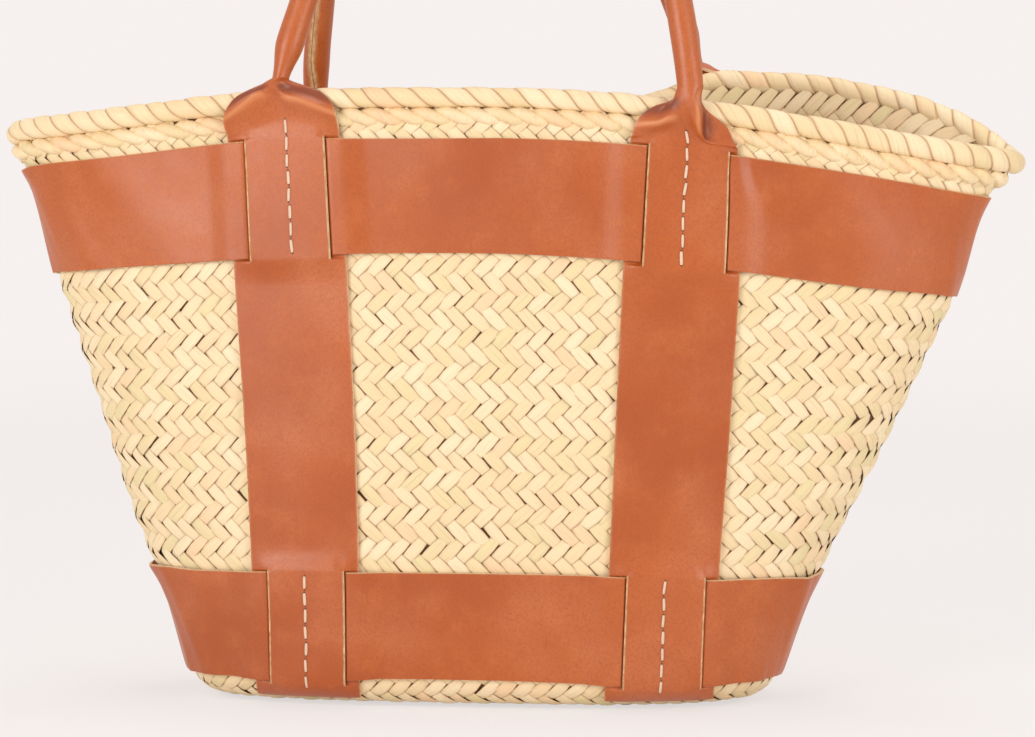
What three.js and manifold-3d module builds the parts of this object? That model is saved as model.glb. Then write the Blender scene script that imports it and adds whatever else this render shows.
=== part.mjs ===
// A half-moon tote bag of plaited palm straw, with two leather bands round it, four leather straps
// and two rolled leather handles. Millimetres, +Z up. The bag stands on its base at z = 0, its front
// faces -Y, and the origin is under the middle of its rim.
import * as THREE from 'three';
import { mergeVertices } from 'three/addons/utils/BufferGeometryUtils.js';
import Module from 'manifold-3d';

const wasm = await Module();
wasm.setup();

// Straw body: half sizes of its outer outline at the base and at the top of the wall
const baseHalfLength = 158;
const rimHalfLength = 268;
const baseHalfDepth = 60;
const rimHalfDepth = 63;
const sideBulge = 5;
const baseShift = -15;
const wallHeight = 307;
const cornerRadius = 20;
const strawThickness = 4;

// How square the oval is: 2 is an ellipse, less is pinched and more is fuller
const baseRoundness = 2.6;
const leftRimRoundness = 1.85;
const rightRimRoundness = 2.2;

// The rim arches: its ends hang lower than its middle, and its back right is pulled up. The lift
// starts, is full and fades at shares of the half length, and the arch fades down the wall.
const leftDroop = 18;
const rightDroop = 29;
const droopFlatness = 1.7;
const droopFade = 1.5;
const backLift = 18;
const backLiftStart = 0.05;
const backLiftFull = 0.4;
const backLiftFade = 0.7;

// Rim: a twisted row on the wall, and a wrapped roll on top of that row
const twistedRowHeight = 9.5;
const twistedRowWidth = 9;
const rollHeight = 11.5;
const rollWidth = 12;

// Leather: bands run right round, straps run up and down over them
const leatherThickness = 2;
const clearance = 0.3;
const bandHeight = 59;
const lowerBandStart = 27;
const upperBandBelowTop = 4;
const strapWidth = 60;
const strapMargin = 8.5;
const strapStart = 16;
const panelCentre = -6;
const strapFromBaseEnd = 67.5;
const strapFromRimEnd = 159;

// Waxed thread: one line of stitches down the middle of each strap at each band
const threadThickness = 1.2;
const stitchPitch = 9;
const stitchLineMargin = 2.5;
const seamStripWidth = 14;
const threadPassShare = 0.8;

// Necks: each strap's top closes over the rim into a tube that is open by an angle at its front. It
// is drawn in by stages, each a share of the neck's rise and of the way from flat to round.
const neckStandOff = 8;
const neckRise = 9.5;
const neckOpening = 20;
const neckStages = [[0.21, 0.4], [0.53, 0.85], [1, 1]];

// Handles: leather rolled round a cord, seam towards the inside, hinged where the neck bends
const handleRadius = 7.4;
const handleHeight = 218;
const handlePeak = 1.75;
const handleApexShift = 8;
const handleSeam = 1.6;
const handleLean = 12;
const inwardSwing = 3;
const outwardSwing = 152;

// Cuts run past what they cut, and the space that a handle sweeps is cut out to a reach
const overcut = 1;
const sweepReach = 60;

// Facets: along each end of the bag, round the rim's rows, round a handle and along it
const endFacets = 6;
const rimFacets = 8;
const handleFacets = 8;
const handleSteps = 20;

const strapHalf = strapWidth / 2;
const slitLine = strapHalf - strapMargin;
const bandRise = leatherThickness + clearance;
const slitOuter = slitLine + (bandRise + clearance) / 2;
const slitInner = slitOuter - bandRise - clearance;
const seamHalf = seamStripWidth / 2;
const strapSpacingAtBase = baseHalfLength - strapFromBaseEnd;
const strapSpacingAtRim = rimHalfLength - strapFromRimEnd;
const cornerRun = cornerRadius * Math.PI / 2;
const wallTop = cornerRun + wallHeight - cornerRadius;
const lowerBandEnd = lowerBandStart + bandHeight;
const upperBandEnd = wallTop - upperBandBelowTop;
const upperBandStart = upperBandEnd - bandHeight;
const twistedRowRun = wallTop + clearance + twistedRowHeight / 2;
const rollRun = wallTop + 2 * clearance + twistedRowHeight + rollHeight / 2;
const rimTop = rollRun + rollHeight / 2;
const wallMiddle = (lowerBandEnd + upperBandStart) / 2;
const neckRadius = handleRadius + clearance + leatherThickness;

const straw = new THREE.MeshStandardMaterial({ color: 0xeadcae, roughness: 0.75, metalness: 0 });
const rimStraw = new THREE.MeshStandardMaterial({ color: 0xe2d09a, roughness: 0.75, metalness: 0 });
const leather = new THREE.MeshStandardMaterial({ color: 0xc46a3a, roughness: 0.5, metalness: 0 });
const waxedThread = new THREE.MeshStandardMaterial({ color: 0xefe6cf, roughness: 0.6, metalness: 0 });
const cottonCore = new THREE.MeshStandardMaterial({ color: 0xd9cdb4, roughness: 0.9, metalness: 0 });

const mix = THREE.MathUtils.lerp;
const smooth = THREE.MathUtils.smoothstep;
const up = new THREE.Vector3(0, 0, 1);

const bag = new THREE.Group();
bag.name = 'straw_tote';

// The wall's outer surface. A column is a line up the wall and a run is the way along it from the
// edge of the base: first round the bottom corner, then up.

function strapSpacing(height) {
  return mix(strapSpacingAtBase, strapSpacingAtRim, height / wallHeight);
}

function strapColumn(side, strap, across, lift = 0) {
  return { side, across, lift, x: height => panelCentre + strap * strapSpacing(height) + across };
}

function middleColumn(side, share) {
  return { side, x: height => panelCentre + share * (strapSpacing(height) - strapHalf) };
}

function endColumn(side, end, turn) {
  return { side, end, turn };
}

function level(run) {
  const bend = Math.min(run / cornerRadius, Math.PI / 2);
  const height = cornerRadius * (1 - Math.cos(bend)) + Math.max(0, run - cornerRun);
  const inset = cornerRadius * (1 - Math.sin(bend));
  const share = height / wallHeight;
  return {
    height,
    share,
    centre: baseShift * Math.max(0, 1 - share),
    halfLength: mix(baseHalfLength, rimHalfLength, share) - inset,
    halfDepth: mix(baseHalfDepth, rimHalfDepth, share) + sideBulge * Math.sin(Math.PI * share) - inset,
  };
}

function roundness(share, end) {
  const atRim = end < 0 ? leftRimRoundness : rightRimRoundness;
  return mix(baseRoundness, atRim, Math.min(share, 1));
}

function rimDrop(along, side) {
  const droop = (along < 0 ? leftDroop : rightDroop) * Math.abs(along) ** droopFlatness;
  if (side < 0) return droop;
  const lift = smooth(along, backLiftStart, backLiftFull) * (1 - smooth(along, backLiftFade, 1));
  return droop - backLift * lift;
}

function surfacePoint(column, run) {
  const { height, share, centre, halfLength, halfDepth } = level(run);
  let end = column.end;
  let power;
  let angle;
  if (column.x) {
    const along = (column.x(height) - centre) / halfLength;
    end = along < 0 ? -1 : 1;
    power = roundness(share, end);
    angle = Math.acos(Math.min(1, Math.abs(along) ** (power / 2)));
  } else {
    const edge = Math.abs(panelCentre + end * (strapSpacing(height) + strapHalf) - centre) / halfLength;
    power = roundness(share, end);
    angle = (1 - column.turn) * Math.acos(edge ** (power / 2));
  }
  const along = end * Math.cos(angle) ** (2 / power);
  const away = column.side * Math.sin(angle) ** (2 / power);
  const outward = new THREE.Vector3(
    end * Math.abs(along) ** (power - 1) / halfLength,
    column.side * Math.abs(away) ** (power - 1) / halfDepth,
    0,
  ).normalize();
  const z = height - rimDrop(along, column.side) * share ** droopFade;
  return { point: new THREE.Vector3(centre + halfLength * along, halfDepth * away, z), outward };
}

function wallFrame(column, run) {
  const step = strawThickness / 8;
  const { point, outward } = surfacePoint(column, run);
  const above = surfacePoint(column, run + step).point;
  const below = surfacePoint(column, Math.max(0, run - step)).point;
  const rise = above.sub(below).normalize();
  const normal = new THREE.Vector3().crossVectors(up, outward).cross(rise).normalize();
  return { point, normal, rise };
}

function wallPoint(column, run, offset) {
  const { point, normal } = wallFrame(column, run);
  return point.addScaledVector(normal, offset);
}

// Columns go right round the bag: along the front from left to right, then back along the rear.
// Each strap has a column at each knot, at a distance across from its middle.

function ringColumns(knots) {
  const columns = [];
  const turns = Array.from({ length: endFacets - 1 }, (_, i) => (i + 1) / endFacets);
  for (const side of [-1, 1]) {
    const order = -side;
    columns.push(endColumn(side, -order, 1));
    for (const turn of turns.toReversed()) columns.push(endColumn(side, -order, turn));
    for (const { across, lift } of knots) columns.push(strapColumn(side, -order, order * across, lift));
    for (const share of [-0.5, 0, 0.5]) columns.push(middleColumn(side, order * share));
    for (const { across, lift } of knots) columns.push(strapColumn(side, order, order * across, lift));
    for (const turn of turns) columns.push(endColumn(side, order, turn));
  }
  return columns;
}

function geometryFrom(points, triangles) {
  const geometry = new THREE.BufferGeometry();
  geometry.setAttribute('position', new THREE.Float32BufferAttribute(points.flatMap(p => p.toArray()), 3));
  geometry.setIndex(triangles);
  return geometry;
}

// A closed sheet over a grid of columns and rows. Each row gives the outer and inner point of a column.

function sheet(columns, rows, isClosed, isCut = () => false) {
  const points = [];
  const outer = [];
  const inner = [];
  for (const column of columns) {
    const pairs = rows.map(row => row(column));
    outer.push(pairs.map(pair => points.push(pair[0]) - 1));
    inner.push(pairs.map(pair => points.push(pair[1]) - 1));
  }
  const triangles = [];
  const quad = (a, b, c, d) => triangles.push(a, b, c, a, c, d);
  const last = columns.length - (isClosed ? 0 : 1);
  const next = c => (c + 1) % columns.length;
  const before = c => (c + columns.length - 1) % columns.length;
  const isThere = (c, r) => r >= 0 && r < rows.length - 1 && (isClosed || (c >= 0 && c < last))
    && !isCut(c, r);
  for (let c = 0; c < last; c++) {
    const d = next(c);
    for (let r = 0; r < rows.length - 1; r++) {
      if (!isThere(c, r)) continue;
      const s = r + 1;
      quad(outer[c][r], outer[d][r], outer[d][s], outer[c][s]);
      quad(inner[c][r], inner[c][s], inner[d][s], inner[d][r]);
      if (!isThere(c, r - 1)) quad(inner[c][r], inner[d][r], outer[d][r], outer[c][r]);
      if (!isThere(c, r + 1)) quad(inner[d][s], inner[c][s], outer[c][s], outer[d][s]);
      if (!isThere(isClosed ? before(c) : c - 1, r)) {
        quad(inner[c][r], outer[c][r], outer[c][s], inner[c][s]);
      }
      if (!isThere(isClosed ? d : c + 1, r)) quad(inner[d][r], inner[d][s], outer[d][s], outer[d][r]);
    }
  }
  return geometryFrom(points, triangles);
}

function toSolid(geometry) {
  const bare = geometry.clone();
  bare.deleteAttribute('normal');
  bare.deleteAttribute('uv');
  const merged = mergeVertices(bare, 1e-4);
  return new wasm.Manifold(new wasm.Mesh({
    numProp: 3,
    vertProperties: new Float32Array(merged.attributes.position.array),
    triVerts: new Uint32Array(merged.index.array),
  }));
}

function fromSolid(solid) {
  const mesh = solid.getMesh();
  const geometry = new THREE.BufferGeometry();
  geometry.setAttribute('position', new THREE.BufferAttribute(mesh.vertProperties, 3));
  geometry.setIndex(new THREE.BufferAttribute(mesh.triVerts, 1));
  return geometry;
}

function addPiece(name, geometry, material, parent = bag) {
  geometry.computeVertexNormals();
  const mesh = new THREE.Mesh(geometry, material);
  mesh.name = name;
  parent.add(mesh);
}

// A six-faced block between eight corners. Its corners are asked for as across, along and out.

function block(corner) {
  const points = [];
  for (const out of [0, 1]) {
    for (const along of [0, 1]) {
      for (const across of [0, 1]) points.push(corner(across, along, out));
    }
  }
  const faces = [[0, 2, 3, 1], [4, 5, 7, 6], [0, 1, 5, 4], [2, 6, 7, 3], [0, 4, 6, 2], [1, 3, 7, 5]];
  return toSolid(geometryFrom(points, faces.flatMap(([a, b, c, d]) => [a, b, c, a, c, d])));
}

// Stitch lines: where the thread goes through the tongue of a strap, the band under it and the straw

const stitchLines = [];
for (const side of [-1, 1]) {
  for (const strap of [-1, 1]) {
    for (const [level, start] of [['lower', lowerBandStart], ['upper', upperBandStart]]) {
      stitchLines.push({ side, strap, level, start });
    }
  }
}

function stitchBlock(line, halfWidth, from, to, low, high) {
  return block((across, along, out) => {
    const shift = -line.side * mix(-halfWidth, halfWidth, across);
    const column = strapColumn(line.side, line.strap, shift);
    const offset = mix(low, high, out);
    const bottom = wallPoint(column, line.start, offset);
    const top = wallPoint(column, line.start + bandHeight, offset);
    return bottom.lerp(top, mix(from, to, along) / bandHeight);
  });
}

const stitchLength = bandHeight - 2 * stitchLineMargin;
const stitchCount = Math.round(stitchLength / stitchPitch);
const stitchPlaces = Array.from({ length: stitchCount + 1 }, (_, i) => (
  stitchLineMargin + i * stitchLength / stitchCount
));
const tongueOuter = clearance + bandRise + leatherThickness;
const threadOut = tongueOuter + clearance;
const threadIn = -strawThickness - clearance;

function stitchHoles(line, low, high) {
  const half = threadThickness / 2 + clearance;
  return stitchPlaces.map(place => stitchBlock(line, half, place - half, place + half, low, high));
}

function thread(line) {
  const half = threadThickness / 2;
  const first = stitchPlaces[0] - half;
  const last = stitchPlaces.at(-1) + half;
  const outside = stitchBlock(line, half, first, last, threadOut, threadOut + threadThickness);
  const inside = stitchBlock(line, half, first, last, threadIn - threadThickness, threadIn);
  const thin = threadPassShare * half;
  const passes = stitchPlaces.map(place => (
    stitchBlock(line, thin, place - thin, place + thin, threadIn - half, threadOut + half)
  ));
  return passes.reduce((body, pass) => body.add(pass), outside.add(inside));
}

// Straw body: an oval base mat, and a wall that turns up from it

function flatRow(run, low, high) {
  return column => [wallPoint(column, run, high), wallPoint(column, run, low)];
}

const wallKnots = [-strapHalf, -seamHalf, seamHalf, strapHalf];
const wallColumns = ringColumns(wallKnots.map(across => ({ across, lift: 0 })));

function baseMat() {
  const outline = wallColumns.map((column) => {
    const { point, outward } = surfacePoint(column, 0);
    point.addScaledVector(outward, -clearance);
    return new THREE.Vector2(point.x, point.y);
  });
  return new THREE.ExtrudeGeometry(new THREE.Shape(outline), { depth: strawThickness, bevelEnabled: false });
}

function strawWall() {
  const runs = [
    0, strapStart, lowerBandStart, lowerBandEnd, wallMiddle, upperBandStart, upperBandEnd, wallTop,
  ];
  const rows = runs.map(run => flatRow(run, -strawThickness, 0));
  let body = toSolid(sheet(wallColumns, rows, true));
  const half = threadThickness / 2 + clearance;
  for (const line of stitchLines) {
    const from = stitchPlaces[0] - half;
    const to = stitchPlaces.at(-1) + half;
    body = body.subtract(stitchBlock(line, half, from, to, -strawThickness - overcut, overcut));
  }
  return fromSolid(body);
}

addPiece('basket_base', baseMat(), straw);
addPiece('basket_wall', strawWall(), straw);

// Rim: rings whose flat sides lie on each other, eight sides to the section

function rimRing(run, width, height) {
  const sides = rimFacets;
  const reach = 1 / Math.cos(Math.PI / sides) / 2;
  const points = [];
  for (const column of wallColumns) {
    for (let i = 0; i < sides; i++) {
      const angle = (i + 0.5) * 2 * Math.PI / sides;
      const offset = width * reach * Math.cos(angle) - strawThickness / 2;
      points.push(wallPoint(column, run + height * reach * Math.sin(angle), offset));
    }
  }
  const triangles = [];
  for (let c = 0; c < wallColumns.length; c++) {
    const d = (c + 1) % wallColumns.length;
    for (let i = 0; i < sides; i++) {
      const j = (i + 1) % sides;
      const [a, b, e, f] = [c * sides + i, d * sides + i, d * sides + j, c * sides + j];
      triangles.push(a, b, e, a, e, f);
    }
  }
  return geometryFrom(points, triangles);
}

addPiece('rim_twisted_row', rimRing(twistedRowRun, twistedRowWidth, twistedRowHeight), rimStraw);
addPiece('rim_roll', rimRing(rollRun, rollWidth, rollHeight), rimStraw);

// Bands: they lie on the straw, climb over the margins of each strap and dive under its tongue.
// A knee is a distance from the strap's middle, and lift is 1 where the band is on top of the margin.

const bandKnees = [
  { across: strapHalf + clearance + bandRise, lift: 0 },
  { across: strapHalf + clearance, lift: 1 },
  { across: slitOuter - clearance, lift: 1 },
  { across: slitInner, lift: 0 },
];

function leatherRow(run, offsetOf) {
  return (column) => {
    const low = offsetOf(column);
    return [wallPoint(column, run, low + leatherThickness), wallPoint(column, run, low)];
  };
}

function band(start) {
  const left = bandKnees.map(({ across, lift }) => ({ across: -across, lift }));
  const seam = [-seamHalf, seamHalf].map(across => ({ across, lift: 0 }));
  const knots = [...left, ...seam, ...bandKnees.toReversed()];
  const rows = [start, start + bandHeight].map(run => (
    leatherRow(run, column => clearance + bandRise * (column.lift ?? 0))
  ));
  let body = toSolid(sheet(ringColumns(knots), rows, true));
  for (const line of stitchLines.filter(one => one.start === start)) {
    for (const hole of stitchHoles(line, 0, bandRise + overcut)) body = body.subtract(hole);
  }
  return fromSolid(body);
}

addPiece('band_lower', band(lowerBandStart), leather);
addPiece('band_upper', band(upperBandStart), leather);

// Necks: the point about which a handle bends, in front of the strap and above the rim

function neckPoint(side, strap) {
  const { point, normal, rise } = wallFrame(strapColumn(side, strap, 0), rimTop);
  return point.addScaledVector(normal, neckStandOff).addScaledVector(rise, neckRise);
}

function hingeFrame(side) {
  const [from, to] = [side, -side].map(strap => neckPoint(side, strap));
  const along = to.clone().sub(from).normalize();
  const out = new THREE.Vector3().crossVectors(along, up).normalize();
  return {
    middle: from.clone().lerp(to, 0.5), halfSpacing: from.distanceTo(to) / 2, along, out,
    upward: new THREE.Vector3().crossVectors(out, along),
  };
}

// The space that a handle's root sweeps in the plane across its hinge, cut out of the strap's neck

function sweptSpace(side, strap) {
  const { along, out, upward } = hingeFrame(side);
  const radius = handleRadius + clearance;
  const inward = -THREE.MathUtils.degToRad(handleLean + inwardSwing);
  const outward = THREE.MathUtils.degToRad(outwardSwing - handleLean);
  const aim = (angle, far) => new THREE.Vector2(far * Math.sin(angle), far * Math.cos(angle));
  const from = outward + Math.PI / 2;
  const to = inward + 3 * Math.PI / 2;
  const shares = [0, 0.25, 0.5, 0.75, 1];
  const points = [aim(outward, sweepReach).add(aim(from, radius))];
  for (const share of shares) points.push(aim(mix(from, to, share), radius));
  points.push(aim(inward, sweepReach).add(aim(to, radius)));
  for (const share of shares) points.push(aim(mix(inward, outward, share), 2 * sweepReach));
  const outline = new THREE.Shape(points);
  const width = 2 * (neckRadius + clearance);
  const geometry = new THREE.ExtrudeGeometry(outline, { depth: width, bevelEnabled: false });
  geometry.translate(0, 0, -width / 2);
  const place = new THREE.Matrix4().makeBasis(out, upward, along.clone().negate());
  place.setPosition(neckPoint(side, strap));
  return toSolid(geometry.applyMatrix4(place));
}

// Straps: flat up the wall, with a raised tongue at each band, then out over the rim and drawn
// together into the neck. The cut for the handle's swing can leave a crumb of the neck's lip, which
// is trimmed off.

const strapColumns = [
  -strapHalf, -slitOuter, -slitInner, -seamHalf, seamHalf, slitInner, slitOuter, strapHalf,
];
const rollStandOff = (rollWidth - strawThickness) / 2 + clearance;
const twistStandOff = (twistedRowWidth - strawThickness) / 2 + clearance;

function tongueRow(run, isRaised, rest = clearance) {
  return leatherRow(run, column => (
    isRaised && Math.abs(column.across) <= slitInner ? clearance + bandRise : rest
  ));
}

function neckRow(side, strap, [riseShare, drawn]) {
  const above = riseShare * neckRise;
  const centre = neckPoint(side, strap);
  const { along, out } = hingeFrame(side);
  const { rise } = wallFrame(strapColumn(side, strap, 0), rimTop);
  centre.addScaledVector(rise, above - neckRise);
  const fullTurn = THREE.MathUtils.degToRad(180 - neckOpening);
  return column => [0, leatherThickness].map((depth) => {
    const flat = wallPoint(column, rimTop + above, rollStandOff + leatherThickness - depth);
    const turn = -side * column.across / strapHalf * fullTurn;
    const radius = neckRadius - depth;
    const rolled = centre.clone().addScaledVector(along, radius * Math.sin(turn));
    rolled.addScaledVector(out, radius * Math.cos(turn));
    return flat.lerp(rolled, drawn);
  });
}

function strapBody(side, strap) {
  const columns = strapColumns.map(across => strapColumn(side, strap, -side * across));
  const lift = clearance + bandRise;
  const rows = [tongueRow(strapStart, false)];
  for (const start of [lowerBandStart, upperBandStart]) {
    rows.push(tongueRow(start - lift, false), tongueRow(start - clearance, true));
    rows.push(tongueRow(start + bandHeight + clearance, true));
    if (start === lowerBandStart) {
      rows.push(tongueRow(start + bandHeight + lift, false), tongueRow(wallMiddle, false));
    }
  }
  const slitRows = [2, 7];
  rows.push(tongueRow(wallTop, false, twistStandOff), tongueRow(twistedRowRun, false, twistStandOff));
  rows.push(tongueRow(rollRun - rollHeight / 4, false, rollStandOff));
  rows.push(tongueRow(rimTop - clearance, false, rollStandOff));
  rows.push(...neckStages.map(stage => neckRow(side, strap, stage)));
  const isSlit = (c, r) => slitRows.includes(r) && (c === 1 || c === 5);
  let body = toSolid(sheet(columns, rows, false, isSlit));
  for (const line of stitchLines.filter(one => one.side === side && one.strap === strap)) {
    for (const hole of stitchHoles(line, bandRise - overcut, tongueOuter + overcut)) {
      body = body.subtract(hole);
    }
  }
  const parts = body.subtract(sweptSpace(side, strap)).decompose();
  parts.sort((a, b) => b.volume() - a.volume());
  return fromSolid(parts[0]);
}

const sideName = side => (side < 0 ? 'front' : 'back');
const strapName = strap => (strap < 0 ? 'left' : 'right');
for (const side of [-1, 1]) {
  for (const strap of [-1, 1]) {
    addPiece(`strap_${sideName(side)}_${strapName(strap)}`, strapBody(side, strap), leather);
  }
}
for (const line of stitchLines) {
  const name = `thread_${sideName(line.side)}_${strapName(line.strap)}_${line.level}`;
  addPiece(name, fromSolid(thread(line)), waxedThread);
}

// Handles: an arch in its own plane, X along the hinge and Y up, with the root rounded about the
// hinge so that it turns in its seat

function archPath(halfSpacing) {
  const points = [new THREE.Vector3(-halfSpacing, -handleRadius, 0)];
  for (let i = 0; i <= handleSteps; i++) {
    const turn = Math.PI * i / handleSteps;
    const rise = Math.sin(turn) ** handlePeak;
    const along = handleApexShift * rise - halfSpacing * Math.cos(turn);
    points.push(new THREE.Vector3(along, handleHeight * rise, 0));
  }
  points.push(new THREE.Vector3(halfSpacing, -handleRadius, 0));
  return new THREE.CatmullRomCurve3(points, false, 'centripetal');
}

function alongArch(section, halfSpacing) {
  const extrudePath = archPath(halfSpacing);
  const options = { steps: handleSteps + 2, curveSegments: handleFacets / 2, extrudePath };
  const far = 2 * (halfSpacing + handleHeight);
  const rootLength = 3 * handleRadius;
  let room = toSolid(new THREE.BoxGeometry(far, far, far).translate(0, far / 2, 0));
  for (const end of [-1, 1]) {
    const root = new THREE.CylinderGeometry(handleRadius, handleRadius, rootLength, 2 * handleFacets);
    root.rotateZ(Math.PI / 2).translate(end * halfSpacing, 0, 0);
    room = room.add(toSolid(root));
  }
  return fromSolid(toSolid(new THREE.ExtrudeGeometry(section, options)).intersect(room));
}

function handleLeather(halfSpacing) {
  const inner = handleRadius - leatherThickness;
  const outerSeam = handleSeam / 2 / handleRadius;
  const innerSeam = handleSeam / 2 / inner;
  const section = new THREE.Shape();
  section.absarc(0, 0, handleRadius, outerSeam, 2 * Math.PI - outerSeam, false);
  section.absarc(0, 0, inner, 2 * Math.PI - innerSeam, innerSeam, true);
  section.closePath();
  return alongArch(section, halfSpacing);
}

function handleCore(halfSpacing) {
  const radius = (handleRadius - leatherThickness) * Math.cos(Math.PI / handleFacets) - clearance;
  const section = new THREE.Shape();
  section.absarc(0, 0, radius, 0, 2 * Math.PI, false);
  return alongArch(section, halfSpacing);
}

for (const side of [-1, 1]) {
  const { middle, halfSpacing, along, out, upward } = hingeFrame(side);
  const handle = new THREE.Group();
  const lean = THREE.MathUtils.degToRad(handleLean);
  const rise = upward.clone().multiplyScalar(Math.cos(lean)).addScaledVector(out, -Math.sin(lean));
  const face = new THREE.Vector3().crossVectors(along, rise);
  handle.applyMatrix4(new THREE.Matrix4().makeBasis(along, rise, face).setPosition(middle));
  bag.add(handle);
  addPiece(`handle_${sideName(side)}`, handleLeather(halfSpacing), leather, handle);
  addPiece(`handle_core_${sideName(side)}`, handleCore(halfSpacing), cottonCore, handle);
}

export default bag;
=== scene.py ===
# A half-moon tote bag of plaited palm straw, with tan leather bands and straps woven into each
# other and rolled leather handles. Metres, +Z up, front towards -Y, standing on z = 0.
import math

import bpy
import numpy as np
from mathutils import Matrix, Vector


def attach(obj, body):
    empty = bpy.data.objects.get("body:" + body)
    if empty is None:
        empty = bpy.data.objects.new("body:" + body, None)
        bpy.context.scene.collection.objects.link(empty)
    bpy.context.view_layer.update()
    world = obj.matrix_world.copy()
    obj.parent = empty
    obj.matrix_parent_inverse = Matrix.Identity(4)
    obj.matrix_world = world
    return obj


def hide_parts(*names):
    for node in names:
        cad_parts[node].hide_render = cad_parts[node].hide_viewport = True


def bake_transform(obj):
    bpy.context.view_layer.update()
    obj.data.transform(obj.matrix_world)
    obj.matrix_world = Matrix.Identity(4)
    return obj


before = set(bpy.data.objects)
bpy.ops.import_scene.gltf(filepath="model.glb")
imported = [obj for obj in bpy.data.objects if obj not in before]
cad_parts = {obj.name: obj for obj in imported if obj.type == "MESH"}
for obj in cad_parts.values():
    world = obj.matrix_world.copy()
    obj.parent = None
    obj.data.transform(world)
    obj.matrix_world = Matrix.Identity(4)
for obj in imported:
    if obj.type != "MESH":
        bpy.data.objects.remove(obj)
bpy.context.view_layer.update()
bpy.ops.object.select_all(action="DESELECT")

# Room: a wide pale floor that fades into the pale colour of the room behind it, big soft lamps, and
# the camera, which stands 2.2 m in front of the bag, a little to its right and above it.
backdrop_colour = (0.925, 0.875, 0.86)
floor_colour = (0.93, 0.92, 0.91)
floor_radius = 60
fade_start, fade_end = 0.5, 2.5
plain_at_bag = 0.72


class Value:
    """A socket's value in a material. Sums and products of values add Math nodes."""

    def __init__(self, finish, socket):
        self.finish = finish
        self.socket = socket

    def maths(self, operation, other):
        return self.finish.node("ShaderNodeMath", {"operation": operation}, {0: self, 1: other})

    def __add__(self, other):
        return self.maths("ADD", other)

    def __mul__(self, other):
        return self.maths("MULTIPLY", other)

    __radd__ = __add__
    __rmul__ = __mul__


class Finish:
    """One material, or the light of a room, built from its nodes."""

    def __init__(self, name, is_room=False):
        self.owner = (bpy.data.worlds if is_room else bpy.data.materials).new(name)
        self.owner.use_nodes = True
        self.tree = self.owner.node_tree
        self.tree.nodes.clear()

    def node(self, kind, settings=None, inputs=None, output=0):
        made = self.tree.nodes.new(kind)
        for name, value in (settings or {}).items():
            if name == "stops":
                ramp = made.color_ramp
                while len(ramp.elements) < len(value):
                    ramp.elements.new(1)
                for element, (place, colour) in zip(ramp.elements, value):
                    element.position = place
                    element.color = (*colour, 1)
            else:
                setattr(made, name, value)
        for name, value in (inputs or {}).items():
            socket = made.inputs[name]
            if isinstance(value, Value):
                self.tree.links.new(value.socket, socket)
            elif socket.type == "RGBA" and len(value) == 3:
                socket.default_value = (*value, 1)
            else:
                socket.default_value = value
        return Value(self, made.outputs[output] if made.outputs else None)

    def mix(self, first, second, share):
        settings = {"data_type": "RGBA", "clamp_factor": True}
        return self.node("ShaderNodeMix", settings, {0: share, 6: first, 7: second}, 2)

    def ramp(self, value, stops):
        return self.node("ShaderNodeValToRGB", {"stops": stops}, {0: value})

    def fade(self, value, low, high, to_low=0.0, to_high=1.0):
        settings = {"interpolation_type": "SMOOTHSTEP"}
        return self.node("ShaderNodeMapRange", settings, {0: value, 1: low, 2: high, 3: to_low, 4: to_high})

    def noise(self, where, scale, detail=2.0, roughness=0.5):
        inputs = {"Vector": where, "Scale": scale, "Detail": detail, "Roughness": roughness}
        return self.node("ShaderNodeTexNoise", None, inputs)

    def stretch(self, where, scale):
        return self.node("ShaderNodeVectorMath", {"operation": "MULTIPLY"}, {0: where, 1: scale})

    def bump(self, height, strength, distance, below=None):
        inputs = {"Height": height, "Strength": strength, "Distance": distance}
        if below:
            inputs["Normal"] = below
        return self.node("ShaderNodeBump", None, inputs)

    def place(self):
        return self.node("ShaderNodeTexCoord", None, None, "Object")

    def shine(self, inputs):
        surface = self.node("ShaderNodeBsdfPrincipled", None, inputs)
        self.node("ShaderNodeOutputMaterial", None, {"Surface": surface})
        return self.owner


def shown_to_rays(finish):
    """1 where the camera sees a surface straight, in a gloss or through glass."""
    seen = finish.node("ShaderNodeLightPath", None, None, "Is Camera Ray")
    gloss = finish.node("ShaderNodeLightPath", None, None, "Is Glossy Ray")
    through = finish.node("ShaderNodeLightPath", None, None, "Is Transmission Ray")
    return seen + gloss + through


paper = Finish("pale_floor")
lit_paper = paper.node("ShaderNodeBsdfDiffuse", None, {"Color": floor_colour})
plain_paper = paper.node("ShaderNodeEmission", None, {"Color": backdrop_colour, "Strength": 1.0})
floor_spot = paper.node("ShaderNodeVectorMath", {"operation": "LENGTH"}, {0: paper.place()}, "Value")
plain_share = shown_to_rays(paper) * paper.fade(floor_spot, fade_start, fade_end, plain_at_bag, 1.0)
paper_surface = paper.node("ShaderNodeMixShader", None, {0: plain_share, 1: lit_paper, 2: plain_paper})
paper.node("ShaderNodeOutputMaterial", None, {"Surface": paper_surface})

bpy.ops.mesh.primitive_circle_add(vertices=96, radius=floor_radius, fill_type="NGON")
floor = bpy.context.object
floor.name = "floor"
floor.data.materials.append(paper.owner)

room = Finish("room", is_room=True)
bpy.context.scene.world = room.owner
room_light = room.node("ShaderNodeBackground", None, {"Color": (1.0, 0.985, 0.97), "Strength": 0.5})
room_colour = room.node("ShaderNodeBackground", None, {"Color": backdrop_colour, "Strength": 1.0})
room_share = shown_to_rays(room)
room_surface = room.node("ShaderNodeMixShader", None, {0: room_share, 1: room_light, 2: room_colour})
room.node("ShaderNodeOutputWorld", None, {"Surface": room_surface})

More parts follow.
